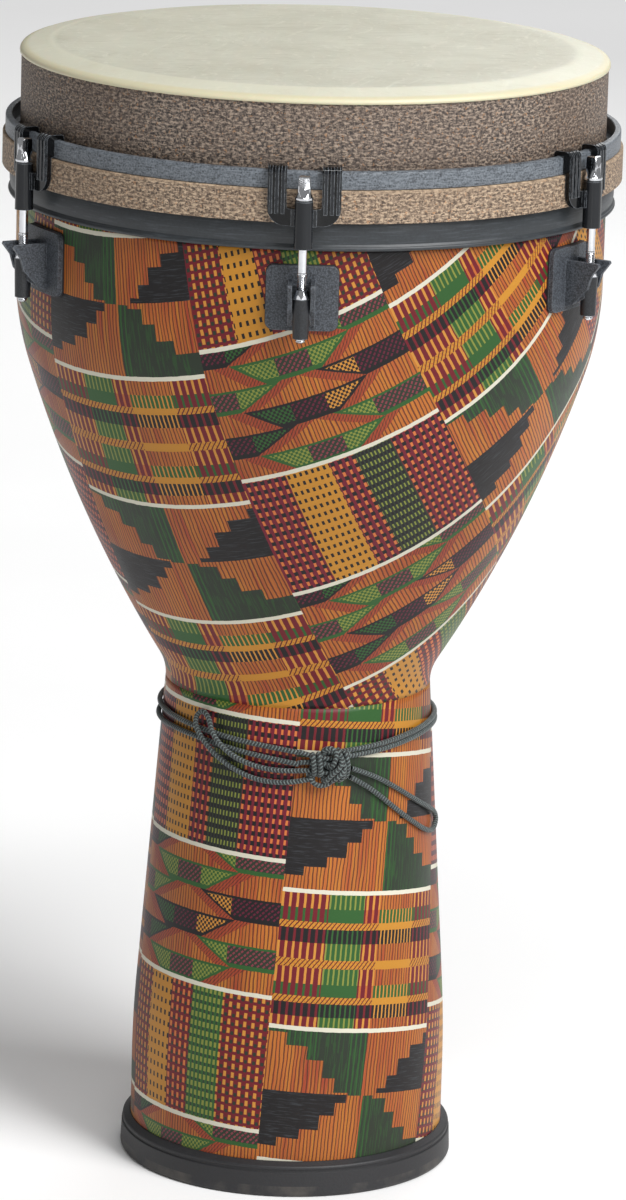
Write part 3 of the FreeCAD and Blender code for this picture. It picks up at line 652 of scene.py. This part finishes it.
def rubber():
    p = Paint("rubber")
    x, y, z = p.axes()
    grain = p.noise(800.0, 3.0, 0.6)
    dirt = p.noise(45.0, 4.0, 0.6).smooth(0.45, 0.7) & (z < 0.006)
    mould_line = ((z - 0.0138).size() < 0.0004)
    colour = p.mix(grain, linear(20, 20, 22), linear(40, 40, 43))
    colour = p.mix(dirt * 0.45, colour, linear(96, 90, 82))
    colour = p.mix(mould_line * 0.3, colour, linear(8, 8, 9))
    return p.finish(colour, (grain * 0.2) + 0.44, p.bump(grain, 0.0002, 0.5))


def chrome():
    p = Paint("chrome")
    film = p.noise(300.0, 4.0, 0.7).smooth(0.5, 0.8)
    colour = p.mix(film * 0.25, linear(226, 228, 232), linear(150, 150, 154))
    return p.finish(colour, (film * 0.16) + 0.07, p.bump(p.noise(200.0, 2.0), 0.00005, 0.2), Metallic=1.0)


def zinc():
    p = Paint("zinc")
    grain = p.noise(900.0, 3.0, 0.6)
    colour = p.mix(grain, linear(176, 178, 176), linear(128, 130, 128))
    return p.finish(colour, (grain * 0.2) + 0.3, p.bump(grain, 0.0001, 0.5), Metallic=1.0)


LEDGE_Z = 0.5519                # top of the collar's ledge, under the hoop


def fibre_board(name):
    """Pressed cloth like tweed: short upright and level fibres, paler on the skirt than above it."""
    p = Paint(name)
    x, y, z = p.axes()
    around = y.math("ARCTAN2", x) * 0.157
    skirt = z < LEDGE_Z + 0.001

    def tone(above, below):
        return p.mix(skirt, linear(*above), linear(*below))

    upright = p.noise(1.0, 3.0, 0.7, p.vector(around * 860.0, z * 420.0))
    level = p.noise(1.0, 3.0, 0.7, p.vector(around * 400.0 + 7.0, z * 860.0))
    sparse = p.noise(1.0, 2.0, 0.6, p.vector(around * 480.0, z * 480.0 + 40.0))
    broad = p.noise(16.0, 3.0).smooth(0.3, 0.7)
    dark, fair = tone((32, 30, 32), (68, 56, 48)), tone((106, 94, 85), (140, 121, 102))
    colour = p.mix(upright.smooth(0.42, 0.54), dark, fair)
    colour = p.mix(level.smooth(0.5, 0.6) * 0.9, colour, tone((168, 151, 134), (200, 177, 150)))
    colour = p.mix(level.smooth(0.45, 0.36) * 0.9, colour, tone((18, 17, 20), (48, 40, 36)))
    colour = p.mix(sparse.smooth(0.62, 0.68) * 0.6, colour, tone((176, 130, 88), (200, 150, 106)))
    colour = p.mix(broad * 0.36, colour, tone((84, 62, 46), (112, 88, 66)))
    cut_edge = (z - (LEDGE_Z - 0.0006)).size() < 0.0008
    colour = p.mix(cut_edge * 0.3, colour, linear(176, 152, 124))
    height = upright + level
    return p.finish(colour, (level * 0.2) + 0.5, p.bump(height, 0.0006, 0.8))


def head_film():
    """Fibre film: warm cream with tangled short fibres, paler round the rim."""
    p = Paint("head_film")
    x, y, z = p.axes()
    radius = ((x * x) + (y * y)).math("SQRT")
    cloud = p.noise(26.0, 4.0, 0.62).smooth(0.3, 0.7)
    bend = p.noise(14.0, 2.0) * 0.05
    fibres = p.noise(240.0, 5.0, 0.78, p.vector(x + bend, y * 0.35 + bend, z))
    cross = p.noise(260.0, 5.0, 0.78, p.vector(x * 0.3 + bend, y + bend, z))
    rim = radius.smooth(0.1335, 0.1365)
    lip = radius.smooth(0.1480, 0.1500)
    colour = p.mix(cloud, linear(196, 194, 176), linear(180, 177, 158))
    colour = p.mix(fibres.smooth(0.54, 0.66) * 0.5, colour, linear(212, 209, 192))
    colour = p.mix(cross.smooth(0.54, 0.66) * 0.4, colour, linear(156, 150, 130))
    colour = p.mix(rim * 0.6, colour, linear(210, 207, 186))
    colour = p.mix(lip * 0.5, colour, linear(204, 192, 150))
    height = fibres + cross
    return p.finish(
        colour, (cross * 0.2) + 0.38, p.bump(height, 0.00018, 0.5),
        Subsurface_Weight=0.12, Subsurface_Scale=0.004, Coat_Weight=0.1, Coat_Roughness=0.35,
    )


def shell_laminate():
    p = Paint("shell_laminate")
    x, y, z = p.axes()
    round_way = y.math("ARCTAN2", x)
    plies = p.noise(1.0, 4.0, 0.65, p.vector(round_way * 3.0, z * 60.0))
    flecks = p.noise(500.0, 4.0, 0.7)
    colour = p.mix(plies.smooth(0.35, 0.65), linear(58, 46, 38), linear(86, 70, 56))
    colour = p.mix(flecks.smooth(0.5, 0.7) * 0.5, colour, linear(30, 25, 22))
    return p.finish(colour, (flecks * 0.2) + 0.6, p.bump(plies + flecks, 0.0006, 0.5))


CHEVRON = 1.75                  # mm along the cord from one chevron of the braid to the next


def braid():
    """Round braid: dark yarn in chevrons, with every other chevron painted paler grey-green as a highlight.
    """
    p = Paint("braid")
    around, along = p.uv("braid")
    arm = ((around * 2.0).part() - 0.5).size()
    phase = (along + arm).part()
    yarn = phase < 0.44
    strand = ((around * 14.0) + (along * 2.0)).part()
    grey = p.noise(900.0, 3.0, 0.7)
    # painted highlight: the paler grey-green chevrons stand for light on the black yarn
    light = p.mix(grey.smooth(0.35, 0.65), linear(66, 78, 78), linear(118, 130, 128))
    dark = p.mix(grey, linear(10, 12, 14), linear(28, 33, 34))
    colour = p.mix(yarn, dark, light)
    colour = p.mix(((phase - 0.5).size() > 0.43) * 0.8, colour, linear(8, 9, 10))
    colour = p.mix((strand < 0.25) * 0.4, colour, linear(10, 12, 12))
    height = ((phase * 2.0).part() - 0.5).size() * -1.0 + (strand - 0.5).size() * 0.3
    return p.finish(colour, (grey * 0.2) + 0.55, p.bump(height, 0.00012, 0.8), Sheen_Weight=0.2)


# ---- meshes ----------------------------------------------------------------------------------
def mesh_object(name, verts, faces, uv_name=None, uvs=None):
    """A smooth mesh object. uvs holds one pair for each vertex."""
    mesh = bpy.data.meshes.new(name)
    mesh.from_pydata(verts, [], faces)
    if uvs is not None:
        layer = mesh.uv_layers.new(name=uv_name)
        for loop in mesh.loops:
            layer.data[loop.index].uv = uvs[loop.vertex_index]
    mesh.shade_smooth()
    mesh.update()
    return link(bpy.data.objects.new(name, mesh))


def grid_faces(rows, columns, closed_rows=False, closed_columns=False):
    """Quads of a grid whose vertices go along the columns first."""
    faces = []
    for i in range(rows if closed_rows else rows - 1):
        for j in range(columns if closed_columns else columns - 1):
            here, right = i * columns + j, i * columns + (j + 1) % columns
            up = (i + 1) % rows * columns
            faces.append((here, right, up + (j + 1) % columns, up + j))
    return faces


# ---- cords -----------------------------------------------------------------------------------
CORD_D = 2.8
CORD_GAP = 0.25
KNOT_AZ = 14.5
KNOT_Z = 232.5
TURN_STEP = 20.0 * 352 / 360
TURN_SPREAD = 1 / math.cos(math.radians(10))
UPPER_TURN_Z = [
    238.6, 240.2, 242.8, 244.4, 244.6, 244.2, 244.6, 245.4, 246.4, 247.2, 247.8, 248.0, 247.6,
    247.0, 247.4, 246.8, 245.2, 242.6, 239.6,
]
LOWER_TURN_Z = [
    235.4, 237.1, 239.7, 241.3, 241.5, 241.1, 241.3, 242.0, 242.8, 243.2, 243.0, 242.4, 241.2,
    240.0, 240.6, 241.4, 240.2, 236.8, 233.4,
]
LEFT_BIGHT = [
    (9, 226.2, 1.6), (2, 223.9, 0.6), (-6, 222.8, 0.0), (-14, 223.6, 0.0), (-21.5, 226.3, 0.2),
    (-28, 230.4, 1.0), (-33.5, 235.4, 2.6), (-38, 240.8, 3.4), (-42.3, 246.4, 3.4),
    (-44.0, 251.8, 2.0), (-40.6, 256.0, 1.2), (-36.4, 252.0, 2.0), (-34.2, 246.2, 3.4),
    (-30.0, 240.2, 3.2), (-24.6, 235.4, 2.4), (-17.6, 231.6, 1.0), (-9.5, 229.6, 0.4),
    (-1.0, 229.4, 0.6), (7.0, 230.4, 1.6),
]
RIGHT_BIGHT = [
    (24.0, 230.6, 1.6), (30.5, 227.2, 0.8), (38.5, 222.2, 0.2), (47.0, 215.6, 0.0),
    (55.0, 209.2, 0.0), (62.5, 203.6, 0.2), (69.5, 199.0, 0.4), (76.0, 194.6, 0.6),
    (78.2, 189.0, 0.6), (72.8, 184.9, 0.4), (65.5, 188.0, 0.2), (58.5, 193.4, 0.0),
    (51.0, 199.8, 0.0), (43.5, 207.4, 0.0), (36.5, 214.8, 0.2), (30.0, 221.0, 0.6),
    (23.5, 226.0, 1.4),
]
BRAID_STEP = 0.35               # mm between the rings of a cord's mesh


def on_waist(azimuth, z, lift, spread=1.0):
    """A cord's centre point, at its own radius and a lift above the fabric, in metres."""
    r = (cone_r(z) + CORD_D / 2 + CORD_GAP + lift) * spread
    angle = math.radians(azimuth)
    return Vector((r * math.sin(angle), -r * math.cos(angle), z)) * MM


def turn_route(heights):
    return [on_waist(KNOT_AZ - 4 + TURN_STEP * i, z, 0, TURN_SPREAD) for i, z in enumerate(heights)]


def smooth_line(points, closed=False):
    """The points that a NURBS spline through its control points is drawn with."""
    curve = bpy.data.curves.new("route", "CURVE")
    curve.dimensions = "3D"
    curve.resolution_u = 16
    spline = curve.splines.new("NURBS")
    spline.points.add(len(points) - 1)
    for place, point in zip(spline.points, points):
        place.co = (*point, 1.0)
    spline.order_u = 3
    if closed:
        spline.use_cyclic_u = True
    else:
        spline.use_endpoint_u = True
    holder = link(bpy.data.objects.new("route", curve))
    mesh = bpy.data.meshes.new_from_object(holder)
    line = [v.co.copy() for v in mesh.vertices]
    bpy.data.objects.remove(holder)
    bpy.data.curves.remove(curve)
    bpy.data.meshes.remove(mesh)
    return line + line[:1] if closed else line


def even_line(line, step):
    """Points a step apart along a line, its two ends included."""
    lengths = [0.0]
    for a, b in zip(line, line[1:]):
        lengths.append(lengths[-1] + (b - a).length)
    count = max(2, round(lengths[-1] / step))
    points, at = [], 0
    for i in range(count + 1):
        want = lengths[-1] * i / count
        while at < len(line) - 2 and lengths[at + 1] < want:
            at += 1
        run = lengths[at + 1] - lengths[at]
        points.append(line[at].lerp(line[at + 1], (want - lengths[at]) / run if run else 0.0))
    return points


def braided_tube(line, sides=20, diameter=CORD_D):
    """Vertices, faces and braid coordinates of a cord along a line."""
    points = even_line(line, BRAID_STEP * MM)
    radius = diameter / 2 * MM
    verts, uvs = [], []
    side = None
    for i, point in enumerate(points):
        ahead = (points[min(i + 1, len(points) - 1)] - points[max(i - 1, 0)]).normalized()
        if side is None:
            side = ahead.orthogonal().normalized()
        side = (side - ahead * side.dot(ahead)).normalized()
        other = ahead.cross(side)
        along = i * BRAID_STEP / CHEVRON
        for j in range(sides + 1):
            share = j / sides
            arm = abs((share * 2) % 1 - 0.5)
            phase = (along + arm) * 2 % 1
            swell = 1 - 0.13 * (abs(phase - 0.5) * 2) ** 2
            angle = share * TAU
            verts.append(point + (side * math.cos(angle) + other * math.sin(angle)) * radius * swell)
            uvs.append((share, along))
    return verts, grid_faces(len(points), sides + 1), uvs


def joined_tubes(name, tubes):
    """One object of several braided tubes."""
    verts, faces, uvs = [], [], []
    for more_verts, more_faces, more_uvs in tubes:
        base = len(verts)
        verts += more_verts
        faces += [tuple(base + n for n in face) for face in more_faces]
        uvs += more_uvs
    return mesh_object(name, verts, faces, "braid", uvs)


def in_knot(right, up, out):
    """A point of the knot, in mm right of, above and out from its middle on the fabric."""
    angle = math.radians(KNOT_AZ)
    outward = Vector((math.sin(angle), -math.cos(angle), 0))
    sideways = Vector((math.cos(angle), math.sin(angle), 0))
    base = outward * cone_r(KNOT_Z) + Vector((0, 0, KNOT_Z))
    drop = right * right / (2 * cone_r(KNOT_Z))
    return (base + sideways * right + Vector((0, 0, up)) + outward * (out - drop)) * MM


# each wrap is a closed loop of (right, up, out)
KNOT_WRAPS = (
    (
        (-8.6, 7.4, 3.0), (-8.9, 5.6, 6.3), (-8.4, 0.6, 6.9),
        (-8.0, -3.6, 5.6), (-8.2, -5.0, 2.4), (-8.6, 0.8, 1.6),
    ),
    (
        (-5.5, 7.8, 3.2), (-5.9, 6.0, 6.9), (-5.2, 0.4, 7.7),
        (-4.9, -4.0, 6.0), (-5.2, -5.2, 2.4), (-5.6, 0.8, 1.6),
    ),
    (
        (4.8, 9.3, 2.6), (4.4, 8.2, 6.4), (7.4, 2.0, 8.3), (7.6, -4.8, 7.2),
        (5.2, -8.4, 4.4), (5.6, -5.0, 1.8), (5.0, 3.0, 1.6),
    ),
    (
        (7.8, 7.6, 2.6), (8.6, 6.6, 5.8), (10.0, 0.6, 7.1),
        (9.4, -5.0, 5.9), (7.6, -7.2, 3.0), (8.0, 0.0, 1.6),
    ),
    (
        (-3.4, -8.2, 3.4), (-2.2, -7.0, 7.6), (0.8, -2.6, 9.6), (5.0, 0.8, 10.1),
        (6.0, 5.0, 7.4), (3.0, 6.6, 3.6), (-0.6, 0.0, 2.0),
    ),
    (
        (-0.9, -8.6, 3.2), (0.8, -7.6, 7.0), (3.6, -4.6, 9.2), (6.6, -2.4, 9.0),
        (8.2, 1.6, 6.4), (6.4, 4.4, 3.2), (2.2, -2.6, 2.0),
    ),
    (
        (-3.4, 6.4, 3.0), (-3.2, 9.6, 5.2), (0.6, 10.6, 6.4), (3.2, 8.4, 7.6),
        (2.2, 3.8, 8.6), (0.4, -0.4, 7.2), (-2.2, 1.0, 3.0),
    ),
    (
        (-9.6, -3.4, 3.0), (-9.8, -7.0, 4.6), (-6.4, -9.9, 5.6), (-1.4, -9.6, 6.2),
        (2.0, -6.4, 6.6), (0.6, -3.4, 3.2), (-5.0, -3.0, 2.0),
    ),
)
KNOT_PASSES = (
    (
        (-15.6, 7.5, 1.7), (-11.5, 6.2, 2.2), (-6.0, 5.0, 3.6),
        (0.0, 4.2, 4.4), (6.0, 4.8, 4.0), (11.0, 6.2, 2.2),
    ),
    (
        (-15.6, 1.3, 1.7), (-11.5, 2.2, 2.2), (-6.0, 1.6, 3.6),
        (0.0, 1.0, 5.4), (6.0, 0.6, 4.4), (11.0, 1.4, 2.2),
    ),
    ((-11.5, -4.6, 3.0), (-6.0, -4.0, 4.0), (0.0, -3.0, 5.0), (6.0, -2.0, 4.4), (11.0, -1.8, 2.8)),
)


def build_cords():
    yarn = braid()
    loops = [braided_tube(smooth_line([in_knot(*q) for q in wrap], True), 16, 2.7) for wrap in KNOT_WRAPS]
    passes = [braided_tube(smooth_line([in_knot(*q) for q in points]), 16, 2.7) for points in KNOT_PASSES]
    knot = joined_tubes("knot_wraps", loops + passes)
    knot.data.materials.append(yarn)
    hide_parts("cord_knot")
    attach(knot, "shell")
    routes = (
        ("upper_turn", turn_route(UPPER_TURN_Z), 0.450, "taut", "cord_upper_turn"),
        ("lower_turn", turn_route(LOWER_TURN_Z), 0.452, "taut", "cord_lower_turn"),
        ("left_bight", [on_waist(*q) for q in LEFT_BIGHT], 0.158, "loose", "cord_left_bight"),
        ("right_bight", [on_waist(*q) for q in RIGHT_BIGHT], 0.168, "hanging", "cord_right_bight"),
    )
    for name, route, length, lay, node in routes:
        line = smooth_line(route)
        verts, faces, uvs = braided_tube(line)
        cord = mesh_object(name, verts, faces, "braid", uvs)
        cord.data.materials.append(yarn)
        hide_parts(node)
        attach(cord, "shell")


build_cords()


# ---- cloth wraps -----------------------------------------------------------------------------
CLOTH = 0.4
SEAM_AZ = 175.0                 # the sheet's lapped edge, at the back
LAP = 6.0                       # degrees of lap
LAP_BLEND = 4.0                 # degrees in which the lapped edge comes down
AZ_STEP = 2.4
SHEET_START_Z = 257.0           # sheet lengths are measured from this height
FOOT_SHIFT = (1083.9, 300.0)    # keeps the foot's sheet apart from the bowl's in the pattern


# each cloth is laid out flat like a cone: how much of the drum's turn the sheet turns, the azimuth
# whose line is upright on the sheet, and the sheet's distance from the cone's tip at length 0
BOWL_TURN, BOWL_UPRIGHT_AZ, BOWL_REACH = 0.4183, -49.21, 148.66
FOOT_TURN, FOOT_UPRIGHT_AZ, FOOT_REACH = 0.07695, 52.97, 938.88
FOOT_SKEW = -0.14366            # radians that the foot's sheet is turned in the pattern


def sheet_on_bowl(azimuth, length):
    turn = BOWL_TURN * math.radians(azimuth - BOWL_UPRIGHT_AZ)
    reach = BOWL_REACH + length
    return reach * math.sin(turn), reach * math.cos(turn)


def sheet_on_foot(azimuth, length):
    turn = FOOT_TURN * math.radians(azimuth - FOOT_UPRIGHT_AZ)
    reach = FOOT_REACH - length
    x0, y0 = reach * math.sin(turn), FOOT_REACH - reach * math.cos(turn)
    x = x0 * math.cos(FOOT_SKEW) + y0 * math.sin(FOOT_SKEW)
    y = y0 * math.cos(FOOT_SKEW) - x0 * math.sin(FOOT_SKEW)
    return x + FOOT_SHIFT[0], y + FOOT_SHIFT[1]


def cloth_wrap(name, profile, first_length, on_sheet, pucker, node):
    """A cloth skin with a lapped seam. profile rises; first_length is the sheet length at its start."""
    lengths = [first_length]
    for a, b in zip(profile, profile[1:]):
        lengths.append(lengths[-1] + math.dist(a, b))
    first, last = SEAM_AZ - 360.0 - LAP, SEAM_AZ
    columns = round((last - first) / AZ_STEP) + 1
    verts, uvs = [], []
    for depth in (0.0, CLOTH - 0.04):
        for (r, z), length in zip(profile, lengths):
            for j in range(columns):
                azimuth = first + (last - first) * j / (columns - 1)
                angle = math.radians(azimuth)
                lift = (CLOTH + 0.1) * (1 - min(1.0, max(0.0, (azimuth - first - LAP) / LAP_BLEND)))
                crease = noise.noise(Vector((math.cos(angle) * 9, math.sin(angle) * 9, z / 40)))
                inward = pucker(z) * abs(crease)
                radius = (r + lift - depth - inward) * MM
                verts.append((radius * math.sin(angle), -radius * math.cos(angle), z * MM))
                u, v = on_sheet(azimuth, length)
                uvs.append((u * MM, v * MM))
    rows = len(profile)
    skin = rows * columns
    outer = [tuple(face) for face in grid_faces(rows, columns)]
    inner = [tuple(skin + n for n in reversed(face)) for face in outer]
    faces = outer + inner
    top = (rows - 1) * columns
    for j in range(columns - 1):
        faces.append((j + 1, j, skin + j, skin + j + 1))
        faces.append((top + j, top + j + 1, skin + top + j + 1, skin + top + j))
    for i in range(rows - 1):
        a, b = i * columns, (i + 1) * columns
        faces.append((a, b, skin + b, skin + a))
        a, b = a + columns - 1, b + columns - 1
        faces.append((b, a, skin + a, skin + b))
    wrap = mesh_object(name, verts, faces, "sheet", uvs)
    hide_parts(node)
    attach(wrap, "shell")
    return wrap


def build_wraps():
    cloth = printed_cloth()
    waist = (JOINT_Z - SHEET_START_Z) / math.cos(FOOT_LEAN)
    foot = foot_outline()
    foot_length = sum(math.dist(a, b) for a, b in zip(foot, foot[1:]))

    def near_waist(z):
        return 0.3 * max(0.0, 1 - abs(z - 276) / 16)

    def none(z):
        return 0.0

    for wrap in (
        cloth_wrap("bowl_cloth", bowl_outline(), waist, sheet_on_bowl, near_waist, "bowl_wrap"),
        cloth_wrap("foot_cloth", foot, waist - foot_length, sheet_on_foot, none, "foot_wrap"),
    ):
        wrap.data.materials.append(cloth)


build_wraps()


# ---- head film -------------------------------------------------------------------------------
CREST_R = 137.0
CREST_Z = 598.6
LIP_R = 152.4
LIP_Z = 597.0
FILM = 0.8


def build_film():
    """The playing film, a little uneven between the fibres, turned down over the collar's lip."""
    top = CREST_Z + FILM
    outer = [(r, top) for r in (8, 20, 34, 48, 62, 76, 90, 102, 112, 121, 129, CREST_R)]
    slope = LIP_R - 2.9
    outer += [(CREST_R + (slope - CREST_R) * i / 6, top + (LIP_Z - top) * i / 6) for i in range(1, 7)]
    edge = LIP_R + 0.6
    outer += [(edge - 0.9, LIP_Z - 0.9), (edge - 0.15, LIP_Z - 2.0), (edge, LIP_Z - FILM - 2.6)]
    inner = [(LIP_R, LIP_Z - FILM - 2.6), (LIP_R - 0.75, LIP_Z - FILM - 0.75), (LIP_R - 3.0, LIP_Z - FILM)]
    inner += [(r, CREST_Z) for r in (CREST_R, 112, 80, 40, 8)]
    count = 120
    verts = []
    for r, z in outer + inner:
        for j in range(count):
            angle = TAU * j / count
            x, y = r * math.sin(angle), -r * math.cos(angle)
            wave = 0.12 * noise.noise(Vector((x / 22, y / 22, 0))) if z == top and r < CREST_R else 0.0
            verts.append((x * MM, y * MM, (z - max(0.0, wave)) * MM))
    faces = [tuple(reversed(f)) for f in grid_faces(len(outer + inner), count, closed_columns=True)]
    faces.append(tuple(range(count)))
    last = (len(outer + inner) - 1) * count
    faces.append(tuple(last + n for n in reversed(range(count))))
    film = mesh_object("film", verts, faces)
    film.data.materials.append(head_film())
    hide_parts("drumhead_film")
    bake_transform(film)


build_film()


# ---- tension rods ----------------------------------------------------------------------------
THREAD_R = 2.5
THREAD_PITCH = 0.8
THREAD_DEPTH = 0.45
THREAD_LOW_Z = 476.6
THREAD_LONG = 34.6
THREAD_RINGS = 260
THREAD_FADE = 12                # rings over which the thread runs out at each end
SHANK_R = 2.2
ROD_SIDES = 36


def rod_rings():
    """(height, radius, share of a square section, share of a thread) up the rod."""
    rings = [(475.8, 1.6, 0, 0), (THREAD_LOW_Z, THREAD_R, 0, 0.0)]
    steps = THREAD_RINGS
    for i in range(1, steps + 1):
        fade = min(1.0, i / THREAD_FADE, (steps - i) / THREAD_FADE)
        rings.append((THREAD_LOW_Z + THREAD_LONG * i / steps, THREAD_R, 0, fade))
    rings += [(511.5, SHANK_R, 0, 0), (540.3, SHANK_R, 0, 0)]
    rings += [(540.9, THREAD_R, 0, 0), (548.1, THREAD_R, 0, 0)]
    rings += [(548.15, 4.5, 0, 0), (548.4, 4.7, 0, 0), (549.2, 4.7, 0, 0), (549.5, 4.4, 0, 0)]
    rings += [(550.6, 3.95, 0.1, 0), (552.0, 3.6, 0.35, 0), (553.6, 3.15, 0.85, 0)]
    rings += [(554.4, 3.0, 1, 0), (559.2, 3.0, 1, 0), (559.9, 2.75, 1, 0), (560.2, 2.2, 1, 0)]
    return rings


def build_rods():
    bright = chrome()
    rings = rod_rings()
    for k in range(LUGS):
        lug_angle = math.radians(-90 + 360 / LUGS * k)
        axis = Vector((math.cos(lug_angle), math.sin(lug_angle), 0)) * ROD_CIRCLE
        verts = []
        for z, r, square, thread in rings:
            for j in range(ROD_SIDES):
                angle = TAU * j / ROD_SIDES
                turn = (angle - lug_angle) % (math.pi / 2) - math.pi / 4
                flat = min(1 / math.cos(math.pi / 4 - abs(turn)), 1.33)
                groove = abs((z / THREAD_PITCH - angle / TAU) % 1 - 0.5) * 2
                radius = r * (1 + square * (flat - 1)) - THREAD_DEPTH * thread * groove
                verts.append((axis + Vector((math.cos(angle) * radius, math.sin(angle) * radius, z))) * MM)
        count = ROD_SIDES
        faces = grid_faces(len(rings), count, closed_columns=True)
        faces.append(tuple(reversed(range(count))))
        faces.append(tuple((len(rings) - 1) * count + n for n in range(count)))
        rod = mesh_object(f"key_rod_{k + 1}", verts, faces)
        rod.data.set_sharp_from_angle(angle=math.radians(32))
        rod.data.materials.append(bright)
        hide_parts(f"tension_rod_{k + 1}")
        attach(rod, f"rod_{k + 1}")


build_rods()


# ---- CAD nodes -------------------------------------------------------------------------------
def dress(material, *names):
    """Gives CAD nodes a material."""
    for name in names:
        data = nodes[name].data
        if not data.materials:
            data.materials.append(material)
        for i in range(len(data.materials)):
            data.materials[i] = material


def each(name):
    return [f"{name}_{k}" for k in range(1, LUGS + 1)]


dress(shell_laminate(), "bowl_shell", "foot_shell")
dress(rubber(), "base_rim", *each("lug_gasket"))
dress(ring_plastic(), "shoulder_ring")
dress(fibre_board("collar_fibre"), "head_collar")
dress(hoop_coating(), "counterhoop")
dress(gloss_black(), "rod_washers", *each("bracket"))
dress(pebbled_casting(), *each("lug"))
dress(chrome(), "lug_nuts")
dress(zinc(), "lug_screws", "screw_washers")


# ---- floor and light -------------------------------------------------------------------------
FLOOR_HALF = 6.0
ROOM_LIGHT = 0.25
SUN_POWER = 2.5
SUN_SPREAD = math.radians(30)
# (name, place, what it is aimed at, its sides, watts)
MIDDLE = (0, 0, 0.35)
SOFT_LIGHTS = (
    ("right_box", (1.9, -2.3, 1.7), MIDDLE, (0.7, 1.6), 26.0),
    ("left_strip", (-2.2, -1.9, 1.1), MIDDLE, (0.3, 1.8), 1.6),
    ("front_strip", (0.1, -3.7, 0.7), (0, 0, 0.5), (0.22, 1.5), 6.0),
    ("front_top", (0.5, -1.2, 2.5), (0, 0, 0.55), (1.5, 0.3), 18.0),
    ("back", (0.8, 2.6, 1.8), MIDDLE, (1.6, 1.6), 18.0),
)


def build_floor():
    p = Paint("floor_paper")
    tone = p.noise(3.0, 3.0)
    colour = p.mix(tone, linear(250, 250, 250), linear(244, 244, 244))
    half = FLOOR_HALF
    corners = [(-half, -half, 0), (half, -half, 0), (half, half, 0), (-half, half, 0)]
    floor = mesh_object("floor", corners, [(0, 1, 2, 3)])
    floor.data.materials.append(p.finish(colour, 0.8, p.bump(p.noise(400.0, 2.0), 0.0001, 0.2)))


def aimed(name, light, at, aim):
    lamp = link(bpy.data.objects.new(name, light))
    lamp.location = at
    lamp.rotation_mode = "QUATERNION"
    lamp.rotation_quaternion = (Vector(aim) - Vector(at)).to_track_quat("-Z", "Y")


def soft_light(name, at, aim, size, power):
    light = bpy.data.lights.new(name, "AREA")
    light.shape = "RECTANGLE"
    light.size, light.size_y = size
    light.energy = power
    aimed(name, light, at, aim)


def build_light():
    """A broad key from the right and above, strip lights for the metal's highlights, and a dim room."""
    world = bpy.data.worlds.new("studio")
    world.use_nodes = True
    sky = world.node_tree.nodes["Background"]
    sky.inputs["Color"].default_value = (1.0, 1.0, 1.0, 1.0)
    sky.inputs["Strength"].default_value = ROOM_LIGHT
    scene.world = world
    key = bpy.data.lights.new("key", "SUN")
    key.energy = SUN_POWER
    key.angle = SUN_SPREAD
    aimed("key", key, (2.3, -1.9, 2.9), MIDDLE)
    for values in SOFT_LIGHTS:
        soft_light(*values)


build_floor()
build_light()
